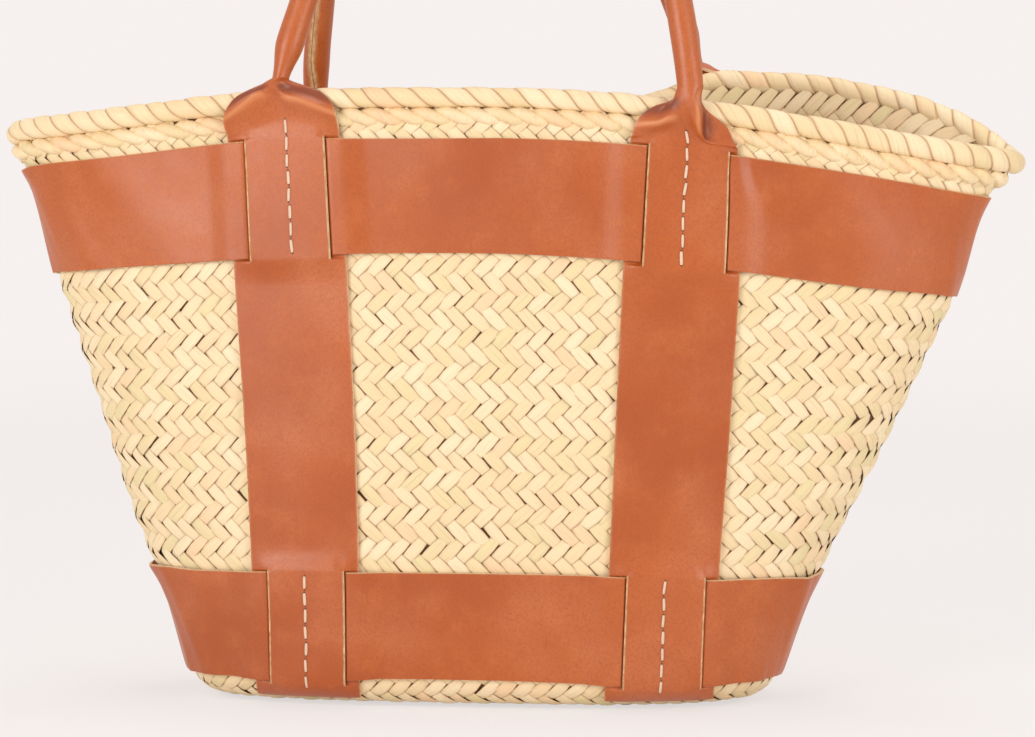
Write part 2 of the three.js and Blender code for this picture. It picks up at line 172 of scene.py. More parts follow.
lamp_target = Vector((0, 0, 0.2))
lamp_colour = (1.0, 0.985, 0.965)
for name, place, size, watts in (
    ("key_lamp", (-1.5, -2.1, 0.95), 1.5, 34),
    ("fill_lamp", (1.9, -1.5, 0.7), 1.1, 20),
    ("top_lamp", (0.2, 0.3, 2.2), 1.4, 16),
):
    bpy.ops.object.light_add(type="AREA", location=place)
    lamp = bpy.context.object
    lamp.name = name
    lamp.data.shape = "DISK"
    lamp.data.size = size
    lamp.data.energy = watts
    lamp.data.color = lamp_colour
    lamp.rotation_euler = (Vector(place) - lamp_target).to_track_quat("Z", "Y").to_euler()

photo_width = 1035
focal_length_px = 4030
camera_target = Vector((0.004, 0, 0.1792))
camera_way = Vector((0.104, -0.991, 0.087)).normalized()
camera_distance = 2.2
bpy.ops.object.camera_add(location=camera_target + camera_way * camera_distance)
camera = bpy.context.object
camera.rotation_euler = camera_way.to_track_quat("Z", "Y").to_euler()
camera.data.lens = camera.data.sensor_width * focal_length_px / photo_width
bpy.context.scene.camera = camera
bpy.context.scene.view_settings.view_transform = "Standard"

# Basket wall: flat palm leaf, plaited two over and two under on the slant, so that leaves lean one
# way in one course and the other way in the next. The courses are level and turn up from the base.
base_half_length = 0.158
rim_half_length = 0.268
base_half_depth = 0.060
rim_half_depth = 0.063
side_bulge = 0.005
base_shift = -0.015
foot_waist = (0.0025, 0.12, 0.12)  # a hump: how high, where its middle is and half its width
wall_height = 0.3105
corner_radius = 0.020
straw_thickness = 0.004
base_roundness = 2.6
left_base_roundness = 3.2
left_rim_roundness = 1.85
right_rim_roundness = 2.2
left_droop = 0.018
right_droop = 0.029
droop_flatness = 1.7
droop_fade = 1.5
back_lifts = ((0.0190, 0.20, 0.44), (0.0030, 0.44, 0.62))  # climbs: how high, and from where to where
back_lift_end = 9
back_sag = 0.0045
front_swell = (0.003, -0.47, 0.28)
front_fall = (0.003, 0.35, 0.85)
front_to_back = 0.25
right_pinch = (0.0088, 0.96, 0.11)
right_waist = (0.003, 0.27, 0.14)
left_bulge = (0.0027, 0.15, 0.35)
left_bulge_end = (0.75, 0.95)
left_lip = (0.0022, 1.02, 0.025)
past_rim = (1.0, 1.05)  # shares of the height
panel_centre = -0.006
corner_run = corner_radius * math.pi / 2
wall_top = corner_run + wall_height - corner_radius
leaf_width = 0.00672
leaf_fill = 1.004
leaf_crown = 0.00042
leaf_tuck = 0.00082
leaf_pitch = leaf_width * math.sqrt(2)
course_count = 34
random = np.random.default_rng(7)


def mix(a, b, share):
    return a + (b - a) * share


def smooth(value, low, high):
    share = np.clip((value - low) / (high - low), 0, 1)
    return share * share * (3 - 2 * share)


def unit(ways):
    return ways / np.linalg.norm(ways, axis=-1, keepdims=True)


def lengths_along(points):
    """How far each point lies along the line through them all."""
    return np.concatenate([[0], np.cumsum(np.linalg.norm(np.diff(points, axis=0), axis=1))])


def hump(value, shape):
    """A soft hill over a value. Its shape is the height, the middle and half the width."""
    height, middle, width = shape
    return height * np.exp(-((value - middle) / width) ** 2)


def climb(value, shape):
    """A soft step over a value. Its shape is the height, the foot and the top."""
    height, foot, top = shape
    return height * smooth(value, foot, top)


def level(run):
    """The wall's outline at a way up the wall, measured round the bottom corner and then up."""
    bend = np.minimum(run / corner_radius, math.pi / 2)
    height = corner_radius * (1 - np.cos(bend)) + np.maximum(0, run - corner_run)
    inset = corner_radius * (1 - np.sin(bend))
    share = height / wall_height
    centre = base_shift * np.maximum(0, 1 - share)
    half_length = mix(base_half_length, rim_half_length, share) - inset
    half_depth = mix(base_half_depth, rim_half_depth, share) - inset
    half_depth = half_depth + side_bulge * np.sin(math.pi * share)
    return height, share, centre, half_length - hump(share, foot_waist), half_depth


def roundness(share, is_left):
    at_base = np.where(is_left, left_base_roundness, base_roundness)
    at_rim = np.where(is_left, left_rim_roundness, right_rim_roundness)
    return mix(at_base, at_rim, np.minimum(share, 1))


def wall_surface(turn, run):
    """Points of the wall's outer face, and its level outward direction. Turn 0 is the right end."""
    height, share, centre, half_length, half_depth = level(run)
    cosine, sine = np.cos(turn), np.sin(turn)
    power = roundness(share, cosine < 0)
    pinch = hump(share, right_pinch) * (1 - smooth(share, *past_rim)) + hump(share, right_waist)
    bulge = climb(share, left_bulge) * (1 - smooth(share, *left_bulge_end)) + hump(share, left_lip)
    half_length = half_length + np.where(cosine > 0, -pinch, bulge) * cosine ** 2
    along = np.sign(cosine) * np.abs(cosine) ** (2 / power)
    away = np.sign(sine) * np.abs(sine) ** (2 / power)
    droop = np.where(along < 0, left_droop, right_droop) * np.abs(along) ** droop_flatness
    lift = sum(climb(along, shape) for shape in back_lifts) * (1 - along ** back_lift_end) - back_sag
    rise = hump(along, front_swell) - climb(along, front_fall)
    drop = droop - mix(rise, lift, smooth(away, -front_to_back, front_to_back))
    z = height - drop * np.abs(share) ** droop_fade
    point = np.stack([centre + half_length * along, half_depth * away, z], -1)
    out_x = np.sign(cosine) * np.abs(along) ** (power - 1) / half_length
    out_y = np.sign(sine) * np.abs(away) ** (power - 1) / half_depth
    outward = np.stack([out_x, out_y, np.zeros_like(out_x)], -1)
    return point, unit(outward)


def wall_frame(turn, run):
    """A point of the outer face, the way out of it and the way up it."""
    turn, run = np.broadcast_arrays(np.asarray(turn, float), np.asarray(run, float))
    step = straw_thickness / 8
    point, outward = wall_surface(turn, run)
    rise = unit(wall_surface(turn, run + step)[0] - wall_surface(turn, np.maximum(0, run - step))[0])
    return point, unit(np.cross(np.cross((0, 0, 1), outward), rise)), rise


def off_wall(turn, run, offset):
    point, normal, _ = wall_frame(turn, run)
    return point + normal * np.asarray(offset)[..., None]


ring_step = 0.002
ring_turns = np.linspace(-1.52 * math.pi, 0.52 * math.pi, 1561)
ring_runs = np.arange(0, wall_top + 0.04, ring_step)
ring_gap = 10.0  # far more than a ring's length, so that the rings can follow each other on one line


def measured_rings():
    """How far each turn lies round the bag from the middle of the front, level by level."""
    rings = []
    for run in ring_runs:
        points = wall_surface(ring_turns, run)[0]
        way = lengths_along(points[:, :2])
        is_front = (ring_turns > -math.pi) & (ring_turns < 0)
        middle = np.interp(panel_centre, points[is_front, 0], way[is_front])
        rings.append(way - middle)
    return np.array(rings)


ring_ways = measured_rings()
ring_line = (ring_ways + ring_gap * np.arange(len(ring_runs))[:, None]).ravel()
ring_line_turns = np.tile(ring_turns, len(ring_runs))
right_quarters = np.array([np.interp(0, ring_turns, ways) for ways in ring_ways])
left_quarters = -np.array([np.interp(-math.pi, ring_turns, ways) for ways in ring_ways])


def turn_at(way, run):
    """The turn that lies a way round the bag from the middle of the front, at a run."""
    place = np.clip(run / ring_step, 0, len(ring_runs) - 1.001)
    lower = np.floor(place)
    low = np.interp(way + ring_gap * lower, ring_line, ring_line_turns)
    high = np.interp(way + ring_gap * (lower + 1), ring_line, ring_line_turns)
    return mix(low, high, place - lower)


def piece_from(name, points, faces, attributes=None, is_smooth=True):
    """A new piece from points, faces and values that belong to its points."""
    mesh = bpy.data.meshes.new(name)
    faces = faces if isinstance(faces, list) else faces.tolist()
    mesh.from_pydata(np.asarray(points).reshape(-1, 3).tolist(), [], faces)
    for label, values in (attributes or {}).items():
        kind, field = ("FLOAT_VECTOR", "vector") if np.ndim(values) == 2 else ("FLOAT", "value")
        attribute = mesh.attributes.new(label, kind, "POINT")
        attribute.data.foreach_set(field, np.asarray(values, np.float32).ravel())
    piece = bpy.data.objects.new(name, mesh)
    bpy.context.scene.collection.objects.link(piece)
    bpy.ops.object.select_all(action="DESELECT")
    bpy.context.view_layer.objects.active = piece
    piece.select_set(True)
    if is_smooth:
        bpy.ops.object.shade_smooth()
    return piece


# One visible leaf: a grid a little over two widths long, crowned across, whose ends dive under its
# neighbours.
bpy.ops.mesh.primitive_grid_add(x_subdivisions=5, y_subdivisions=3, size=2)
one_leaf = bpy.context.object
leaf_points = np.array([v.co for v in one_leaf.data.vertices])
leaf_faces = np.array([list(face.vertices) for face in one_leaf.data.polygons])
bpy.data.objects.remove(one_leaf)
leaf_tip = 1.17
leaf_slope = 0.0004
leaf_taper = (0.16, 0.7, leaf_tip)
leaf_stations = np.array([-leaf_tip, -0.9, -0.34, 0.34, 0.9, leaf_tip])
along_leaf = np.interp(leaf_points[:, 0], np.linspace(-1, 1, 6), leaf_stations) * leaf_width
across_leaf = np.interp(leaf_points[:, 1], (-1, -1 / 3, 1 / 3, 1), (-1, -0.5, 0.5, 1))
leaf_end = np.abs(along_leaf) / leaf_width
leaf_height = leaf_crown * (1 - across_leaf ** 2) - leaf_slope * leaf_end ** 2
leaf_height -= climb(leaf_end, (leaf_tuck, 0.75, leaf_tip))
leaf_half = leaf_fill / 2 * leaf_width * (1 - climb(leaf_end, leaf_taper))

lean_fault = 1.6  # degrees
width_fault = 0.035
shift_fault = 0.00022
lift_fault = 0.00012
tilt_fault = 0.00018
pinch_zone = (0.25, 1.1)
pinch_widening = 0.35


def leaves(count, leans_right, upper_pinch=0.0):
    """Each leaf's points along the course, up the wall and out of it, with its own small faults.

    A pinch draws in the leaves' upper ends, or below 0 their lower ends, and their tips reach further
    under their neighbours.
    """
    lean = math.radians(45) * np.where(leans_right, 1, -1)
    lean = lean + np.radians(random.normal(0, lean_fault, count))
    width = random.normal(1, width_fault, count)[:, None]
    shift = random.normal(0, shift_fault, (2, count, 1))
    lift = random.normal(0, lift_fault, count)[:, None]
    tilt = random.normal(0, tilt_fault, count)[:, None]
    seed = random.random(count)[:, None]
    pinch = np.abs(upper_pinch)
    to_pinched = (1 if leans_right else -1) * along_leaf / leaf_width * np.sign(upper_pinch)
    across = across_leaf * leaf_half * width
    across = across * (1 - pinch * smooth(to_pinched, *pinch_zone)) * (1 + pinch_widening * pinch)
    along = along_leaf * (1 + 2 * pinch * (leaf_end > 1))
    course = along * np.cos(lean)[:, None] - across * np.sin(lean)[:, None] + shift[0]
    rise = along * np.sin(lean)[:, None] + across * np.cos(lean)[:, None] + shift[1]
    out = leaf_height + lift + tilt * across_leaf
    marks = np.stack(np.broadcast_arrays(along_leaf * 1000, across_leaf, seed), -1)
    return course, rise, out, marks


def quarter_at(index, run):
    """The way from the middle of the front to the end on a leaf's side of the bag."""
    return np.where(index > 0, np.interp(run, ring_runs, right_quarters),
                    np.interp(run, ring_runs, left_quarters))


fitted_zone = (0.6, 1)
growing_zone = (0.7, 1.3)


def course_way(index, run, runs):
    """Where leaf number index lies round a course: evenly, and whole numbers fit at the ends.

    The bag widens upwards, so past its ends the way grows with a point's own run.
    """
    quarters = quarter_at(index, run)
    count = np.round(quarters / leaf_pitch)
    folded = 1 - np.abs(1 - np.abs(index) / count)
    even = folded * count * leaf_pitch
    even = even + (quarters - count * leaf_pitch) * smooth(folded, *fitted_zone)
    way = np.where(np.abs(index) > count, 2 * quarters - even, even)
    growth = 2 * (quarter_at(index, runs) - quarters) * smooth(np.abs(index) / count, *growing_zone)
    return np.sign(index) * (way + growth)


def plait_from(name, points, marks, out_sign):
    """One piece from rows of leaves, whose faces are turned over where the sign is -1."""
    points, marks = np.concatenate(points), np.concatenate(marks)
    faces = leaf_faces[None] + len(leaf_points) * np.arange(len(points))[:, None, None]
    return piece_from(name, points, faces.reshape(-1, 4)[:, ::out_sign], {"leaf": marks.reshape(-1, 3)})


inner_rise = 0.0024
inner_lip = (0.0043, wall_top - 0.010, wall_top + 0.003)
end_reach = (0.45, 0.1)  # where an end's look begins and is full, as shares of a quarter round
pinch_everywhere = 0.08
pinch_at_ends = 0.05
dip = 0.00022
dip_at_ends = 0.00045
swell_at_ends = 0.0001


def plaited_wall(name, base_offset, out_sign):
    """The wall's leaves, course by course from the top. They dip at every second joint of courses."""
    points, marks = [], []
    for course in range(course_count):
        run = wall_top + (0 if out_sign > 0 else inner_rise) + leaf_pitch * (0.5 - course)
        right = round(np.interp(run, ring_runs, right_quarters) / leaf_pitch)
        left = round(np.interp(run, ring_runs, left_quarters) / leaf_pitch)
        index = np.arange(-2 * left, 2 * right) + 0.5 * (course % 2)
        from_end = np.abs(1 - np.abs(index) / np.where(index > 0, right, left))
        near_end = smooth(from_end, *end_reach)[:, None]
        pinch = (pinch_everywhere + pinch_at_ends * near_end) * (1 if course % 2 == 0 else -1)
        along, rise, out, mark = leaves(len(index), (course % 2 == 0) == (out_sign > 0), pinch)
        runs = np.maximum(run + rise, 0.0002)
        way = course_way(index[:, None] + along / leaf_pitch, run, runs)
        lip = -climb(runs, inner_lip) if out_sign < 0 else 0
        from_dip = np.cos(math.pi * (runs - wall_top) / leaf_pitch)
        dipped = dip * (from_dip - 1) + near_end * (dip_at_ends * from_dip + swell_at_ends)
        points.append(off_wall(turn_at(way, runs), runs, base_offset + lip + out_sign * (out + dipped)))
        marks.append(mark)
    return plait_from(name, points, marks, out_sign)


# Brown of the painted shade in the creases between leaves.
leaf_crease_shade_brown = (0.37, 0.170, 0.055)


def straw_finish(name, cream, pale, green, peach):
    """Palm leaf: each leaf has its own tone, fibres along it, blotches, peach edges and a brown line of
    painted shade at its rims.
    """
    straw = Finish(name)
    leaf = straw.node("ShaderNodeAttribute", {"attribute_name": "leaf"}, None, "Vector")
    parts = straw.node("ShaderNodeSeparateXYZ", None, {0: leaf})
    seed = Value(straw, parts.socket.node.outputs["Z"])
    across = Value(straw, parts.socket.node.outputs["Y"])
    leaf_tones = [(0.0, cream), (0.5, pale), (0.62, cream), (0.8, green), (0.9, cream), (1.0, peach)]
    tone = straw.ramp(seed, leaf_tones)
    fibre = straw.noise(straw.stretch(leaf, (0.05, 5.0, 61.0)), 1.0, 3.0, 0.6)
    blotch = straw.noise(straw.stretch(leaf, (0.12, 0.8, 37.0)), 1.0, 2.0)
    tone = straw.mix(tone, tuple(0.72 * c for c in cream), straw.fade(fibre, 0.5, 0.75, 0, 0.55))
    tone = straw.mix(tone, peach, straw.fade(blotch, 0.58, 0.8, 0, 0.6))
    edge = straw.node("ShaderNodeMath", {"operation": "ABSOLUTE"}, {0: across})
    tone = straw.mix(tone, tuple(0.94 * c for c in peach), straw.fade(edge, 0.4, 1.0, 0, 0.42))
    # Painted shade: a brown line along each leaf's rims stands in for the shade in the creases where
    # neighbouring leaves meet.
    tone = straw.mix(tone, leaf_crease_shade_brown, straw.fade(edge, 0.82, 1.0, 0, 0.66))
    bump = straw.bump(fibre, 0.35, 0.0003)
    return straw.shine({
        "Base Color": tone, "Roughness": straw.fade(fibre, 0.2, 0.8, 0.42, 0.62),
        "Specular IOR Level": 0.35, "Normal": bump,
    })


straw_material = straw_finish("straw", (0.835, 0.640, 0.381), (0.885, 0.718, 0.475),
                              (0.765, 0.632, 0.347), (0.848, 0.600, 0.366))
outer_plait = plaited_wall("wall_plait_outside", 0.0, 1)
inner_plait = plaited_wall("wall_plait_inside", -straw_thickness, -1)

# Painted shade: the strands under the plait are the same straw, coloured dark brown because they show only
# in shade through the gaps between leaves.
shade = Finish("straw_in_shade")
shade_grain = shade.noise(shade.place(), 900.0, 3.0)
shade_colour = shade.mix((0.09, 0.041, 0.013), (0.19, 0.098, 0.036), shade_grain)
shade_material = shade.shine({"Base Color": shade_colour, "Roughness": 0.8})


def turns_round(count):
    """Even turns once round the bag from the middle of the back."""
    return np.linspace(-1.5 * math.pi, 0.5 * math.pi, count, endpoint=False)


def grid_faces(rows, columns, is_ring):
    """Faces of a grid that is seen from outside with its columns to the right and its rows up."""
    last = columns if is_ring else columns - 1
    row, column = np.meshgrid(np.arange(rows - 1), np.arange(last), indexing="ij")
    after = (column + 1) % columns
    corners = [row * columns + column, row * columns + after,
               (row + 1) * columns + after, (row + 1) * columns + column]
    return np.stack(corners, -1).reshape(-1, 4)


def apply_modifier(piece, kind, settings):
    modifier = piece.modifiers.new(kind.lower(), kind)
    for name, value in settings.items():
        setattr(modifier, name, value)
    bpy.context.view_layer.objects.active = piece
    bpy.ops.object.modifier_apply(modifier=modifier.name)


# Strands under the outer leaves: a shell in the dark straw of painted shade, seen through the gaps.
under_columns = 300
under_depth = 0.0016
under_thickness = 0.0008
under_corner = np.linspace(0.0005, corner_run, 9)
under_runs = np.concatenate([under_corner, np.linspace(corner_run + 0.01, wall_top, 30)])
under_points = off_wall(turns_round(under_columns), under_runs[:, None], -under_depth)
under = piece_from("wall_strands_under", under_points, grid_faces(len(under_runs), under_columns, True))
apply_modifier(under, "SOLIDIFY", {"thickness": under_thickness, "offset": -1})
under.data.materials.append(shade_material)
for piece in (outer_plait, inner_plait):
    piece.data.materials.append(straw_material)
for piece in (outer_plait, inner_plait, under):
    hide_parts("basket_wall")
    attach(piece, "basket")

# Basket base: a flat oval mat of the same palm plait, on which the bag stands. The wall turns up from
# its edge, and the leaf ends there are tucked in.
mat_gap = 0.0003
mat_middle_z = 0.0014
mat_middle_thickness = 0.0012
mat_tucks = (0.97, 0.93)
mat_margin = 0.6 * leaf_width
mat_rows, mat_columns = 8, 34  # each way from the middle
mat_corners = 120
mat_outline, mat_outward = wall_surface(turns_round(mat_corners), np.zeros(1))
mat_outline = (mat_outline - mat_outward * mat_gap)[:, :2]


def inside_mat(x, y, margin):
    _, _, centre, half_length, half_depth = level(np.zeros(1))
    along = np.abs((x - centre) / (half_length - margin))
    away = np.abs(y / (half_depth - margin))
    return along ** base_roundness + away ** base_roundness < 1


def plaited_mat(name, z, up_sign):
    """Rows of leaves inside the oval. Leaf ends that would pass its edge are tucked in."""
    columns = np.arange(-mat_columns, mat_columns + 1)
    points, marks = [], []
    for row in range(-mat_rows, mat_rows + 1):
        x = panel_centre + leaf_pitch * (columns + 0.5 * (row % 2))
        y = row * leaf_pitch * np.ones_like(x)
        keep = inside_mat(x, y, mat_margin)
        along, rise, out, mark = leaves(keep.sum(), row % 2 == 0)
        spot_x = x[keep][:, None] + along
        spot_y = y[keep][:, None] + rise
        inside = inside_mat(spot_x, spot_y, mat_gap)
        spot_x = np.where(inside, spot_x, base_shift + (spot_x - base_shift) * mat_tucks[0])
        spot_y = np.where(inside, spot_y, spot_y * mat_tucks[1])
        points.append(np.stack([spot_x, spot_y, z + up_sign * out], -1))
        marks.append(mark)
    return plait_from(name, points, marks, up_sign)


mat_under = plaited_mat("base_plait_underside", leaf_crown + mat_gap, -1)
mat_top = plaited_mat("base_plait_inside", straw_thickness - leaf_crown, 1)
bpy.ops.object.select_all(action="DESELECT")
bpy.ops.mesh.primitive_circle_add(vertices=mat_corners, radius=1, fill_type="NGON")
mat_core = bpy.context.object
mat_core.name = "base_strands_under"
for vertex, (x, y) in zip(mat_core.data.vertices, mat_outline):
    vertex.co = (x, y, mat_middle_z)
bpy.ops.object.mode_set(mode="EDIT")
bpy.ops.mesh.select_all(action="SELECT")
bpy.ops.mesh.extrude_region_move(TRANSFORM_OT_translate={"value": (0, 0, mat_middle_thickness)})
bpy.ops.mesh.select_all(action="SELECT")
bpy.ops.mesh.normals_make_consistent(inside=False)
bpy.ops.object.mode_set(mode="OBJECT")
# The base's middle layer also takes the dark straw of painted shade.
mat_core.data.materials.append(shade_material)
for piece in (mat_under, mat_top):
    piece.data.materials.append(straw_material)
for piece in (mat_under, mat_top, mat_core):
    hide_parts("basket_base")
    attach(piece, "basket")

# Twisted row: two strands of palm leaf laid round each other like a rope and sewn on the wall's top
# edge. It leans down to the right, seen from outside.
twisted_height = 0.0101
roll_height = 0.0118
clearance = 0.0003
twist_pitch = 0.0268
twist_run = wall_top + clearance + twisted_height / 2
strand_centre = 0.0020
strand_radius = 0.0034
strand_sides = 12
strand_steps = 9
strand_flutes = 5
strand_fluting = 0.05
strand_width_mark = 0.75
tone_length = 31
twist_faults = ((0.05, 7), (0.04, 23))  # how strong, and how often round the rim
twist_rise = 0.0023
twist_thinning = 0.06
rim_length = float(right_quarters[-1] + left_quarters[-1]) * 2
rim_middle = (1, 0, 0.13)


def ring_line_frame(run, count, offset, front_rise):
    """Even steps round the bag at a run: points inside the wall, and the ways out and up."""
    quarter_right = np.interp(run, ring_runs, right_quarters)
    quarter_left = np.interp(run, ring_runs, left_quarters)
    ways = np.linspace(-2 * quarter_left, 2 * quarter_right, count, endpoint=False)
    near_middle = hump(ways, rim_middle)
    runs = run + front_rise * near_middle
    point, normal, rise = wall_frame(turn_at(ways, runs), runs)
    return point + normal * offset, normal, rise, near_middle


def tube_faces(count, sides, shift):
    """Faces of a closed tube of rings. The last side joins the first of the ring a shift before."""
    row, column = np.meshgrid(np.arange(count), np.arange(sides), indexing="ij")
    next_row, next_column = (row + 1) % count, (column + 1) % sides
    shift = shift * (column == sides - 1)
    faces = [row * sides + column, next_row * sides + column,
             (next_row - shift) % count * sides + next_column, (row - shift) % count * sides + next_column]
    return np.stack(faces, -1).reshape(-1, 4)


def twisted_strand(start):
    twists = round(rim_length / twist_pitch)
    count = twists * 2 * strand_steps
    centre, normal, rise, near_middle = ring_line_frame(twist_run, count, -straw_thickness / 2, twist_rise)
    phase = -2 * math.pi * twists * np.arange(count) / count + start
    wobble = sum((fault * np.sin(waves * phase / twists) for fault, waves in twist_faults), 1)
    wobble = wobble - twist_thinning * near_middle
    side = np.cos(phase)[:, None] * normal + np.sin(phase)[:, None] * rise
    spine = centre + strand_centre * wobble[:, None] * side
    forward = unit(np.roll(spine, -1, 0) - np.roll(spine, 1, 0))
    side = unit(side - forward * np.sum(side * forward, 1, keepdims=True))
    other = np.cross(forward, side)
    angles = 2 * math.pi * np.arange(strand_sides) / strand_sides
    flute = strand_radius * (1 + strand_fluting * np.cos(strand_flutes * angles))
    ring = (np.cos(angles)[None, :, None] * side[:, None] * flute[None, :, None]
            + np.sin(angles)[None, :, None] * other[:, None] * flute[None, :, None])
    points = spine[:, None] + ring
    along = np.arange(count) * rim_length / count * 1000
    across = strand_width_mark * (angles / math.pi - 1)
    seed = 0.5 + 0.5 * np.sin(along / tone_length + start)
    marks = np.stack(np.broadcast_arrays(along[:, None], across[None], seed[:, None]), -1)
    return points.reshape(-1, 3), tube_faces(count, strand_sides, 0)[:, ::-1], marks.reshape(-1, 3)


def joined(name, parts):
    """One piece from several parts, each of them points, faces and marks."""
    starts = np.cumsum([0] + [len(points) for points, _, _ in parts[:-1]])
    faces = np.concatenate([faces + start for start, (_, faces, _) in zip(starts, parts)])
    points = np.concatenate([points for points, _, _ in parts])
    marks = np.concatenate([marks for _, _, marks in parts])
    return piece_from(name, points, faces, {"leaf": marks})


rim_material = straw_finish("rim_straw", (0.84, 0.635, 0.37), (0.89, 0.715, 0.47),
                            (0.78, 0.61, 0.34), (0.85, 0.58, 0.34))
twisted_row = joined("rim_twisted_strands", [twisted_strand(0), twisted_strand(math.pi)])
twisted_row.data.materials.append(rim_material)
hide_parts("rim_twisted_row")
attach(twisted_row, "basket")

# Rim roll: a bundle of leaf ends, bound all round by flat leaf that winds over itself, each turn
# lapping the one before it.
roll_run = wall_top + 2 * clearance + twisted_height + roll_height / 2
roll_radius = 0.0054
roll_lap = 0.0006
wrap_pitch = 0.0127
wrap_width_fault = 0.13
wrap_fault_limit = 1.5
wrap_shares = np.array([0.0, 0.05, 0.2, 0.4, 0.6, 0.8, 0.93, 0.99])
wrap_laps = roll_lap * np.array([0.0, 0.8, 1.25, 1.5, 1.5, 1.3, 0.9, 0.0])
wrap_steps = len(wrap_shares)
wrap_swell = 0.0002
roll_sides = 18
roll_seam = 0.4
roll_rise = 0.0009
roll_thinning = 0.0009


def wrapped_roll():
    """The roll's rings follow its wraps, which are unlike in width and wind up round it."""
    wraps = round(rim_length / wrap_pitch)
    count = wraps * wrap_steps
    centre, normal, rise, near_middle = ring_line_frame(
        roll_run, count * 4, -straw_thickness / 2, roll_rise)
    widths = 1 + wrap_width_fault * random.normal(0, 1, wraps).clip(-wrap_fault_limit, wrap_fault_limit)
    starts = np.concatenate([[0], np.cumsum(widths)]) / widths.sum()
    swell = np.repeat(random.normal(0, wrap_swell, wraps), wrap_steps)
    radius = roll_radius + np.tile(wrap_laps, wraps) + swell
    angles = 2 * math.pi * (np.arange(roll_sides) / roll_sides - roll_seam)
    turns = (np.arange(wraps)[:, None] + wrap_shares).ravel()[:, None] - angles[None] / math.pi
    spots = np.interp(turns % wraps, np.arange(wraps + 1), starts) * len(centre)
    low = np.floor(spots).astype(int) % len(centre)
    high = (low + 1) % len(centre)
    share = (spots - np.floor(spots))[..., None]
    middle = mix(centre[low], centre[high], share)
    out = mix(normal[low], normal[high], share)
    up = mix(rise[low], rise[high], share)
    ring = np.cos(angles)[None, :, None] * out + np.sin(angles)[None, :, None] * up
    radius = radius[:, None] - roll_thinning * near_middle[low]
    points = middle + ring * radius[..., None]
    seeds = np.repeat(random.random(wraps), wrap_steps)
    across = 2 * np.tile(wrap_shares, wraps) - 1
    marks = np.stack(np.broadcast_arrays(
        angles[None] * roll_radius * 1000, across[:, None], seeds[:, None]), -1)
    return points.reshape(-1, 3), tube_faces(count, roll_sides, 2 * wrap_steps), marks.reshape(-1, 3)


rim_roll = joined("rim_wrapped_roll", [wrapped_roll()])
rim_roll.data.materials.append(rim_material)
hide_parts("rim_roll")
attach(rim_roll, "basket")

# Leather bands: tan leather with cut edges, right round the bag. At each strap a band climbs over
# the strap's margins and dives through its slits, under the tongue between them.
leather_thickness = 0.0018
straw_gap = 0.0003
lower_band_height = 0.059
upper_band_height = 0.0625
lower_band_start = 0.027
upper_band_end = wall_top - 0.004
upper_band_start = upper_band_end - upper_band_height
bands = ((lower_band_start, lower_band_height), (upper_band_start, upper_band_height))
strap_half = 0.030
left_slit = -0.0203
right_slit = 0.0223
strap_space_at_base = 0.0905
strap_space_at_rim = 0.109
right_strap_inset = 0.002
strap_widths = (0.95, 1.02)
full_width_share = 0.75
layer = 0.0023
left_strap_kick = 0.0068
kick_end = 0.62
right_strap_nip = 0.03
right_margin_nip = 0.43
nip_zone = (0.88, 0.985)
tongue_rise = 0.0009

deep_tan = (0.400, 0.077, 0.0100)
full_tan = (0.490, 0.106, 0.015)
light_tan = (0.58, 0.160, 0.036)
# Pale pink of the painted sheen on the leather.
sheen_painted_tan = (0.58, 0.197, 0.092)
dark_tan = (0.32, 0.060, 0.012)
# Colours of the painted highlight on the shoulders' ridges and the painted shade in their hollows.
fold_highlight_tan = (0.66, 0.23, 0.08)
fold_shade_brown = (0.20, 0.036, 0.010)
flesh_tones = [(0.3, (0.36, 0.17, 0.06)), (0.5, (0.60, 0.36, 0.17)), (0.72, (0.80, 0.58, 0.34))]
cut_tones = [(0.3, (0.50, 0.24, 0.10)), (0.5, (0.78, 0.52, 0.30)), (0.7, (0.90, 0.72, 0.50))]


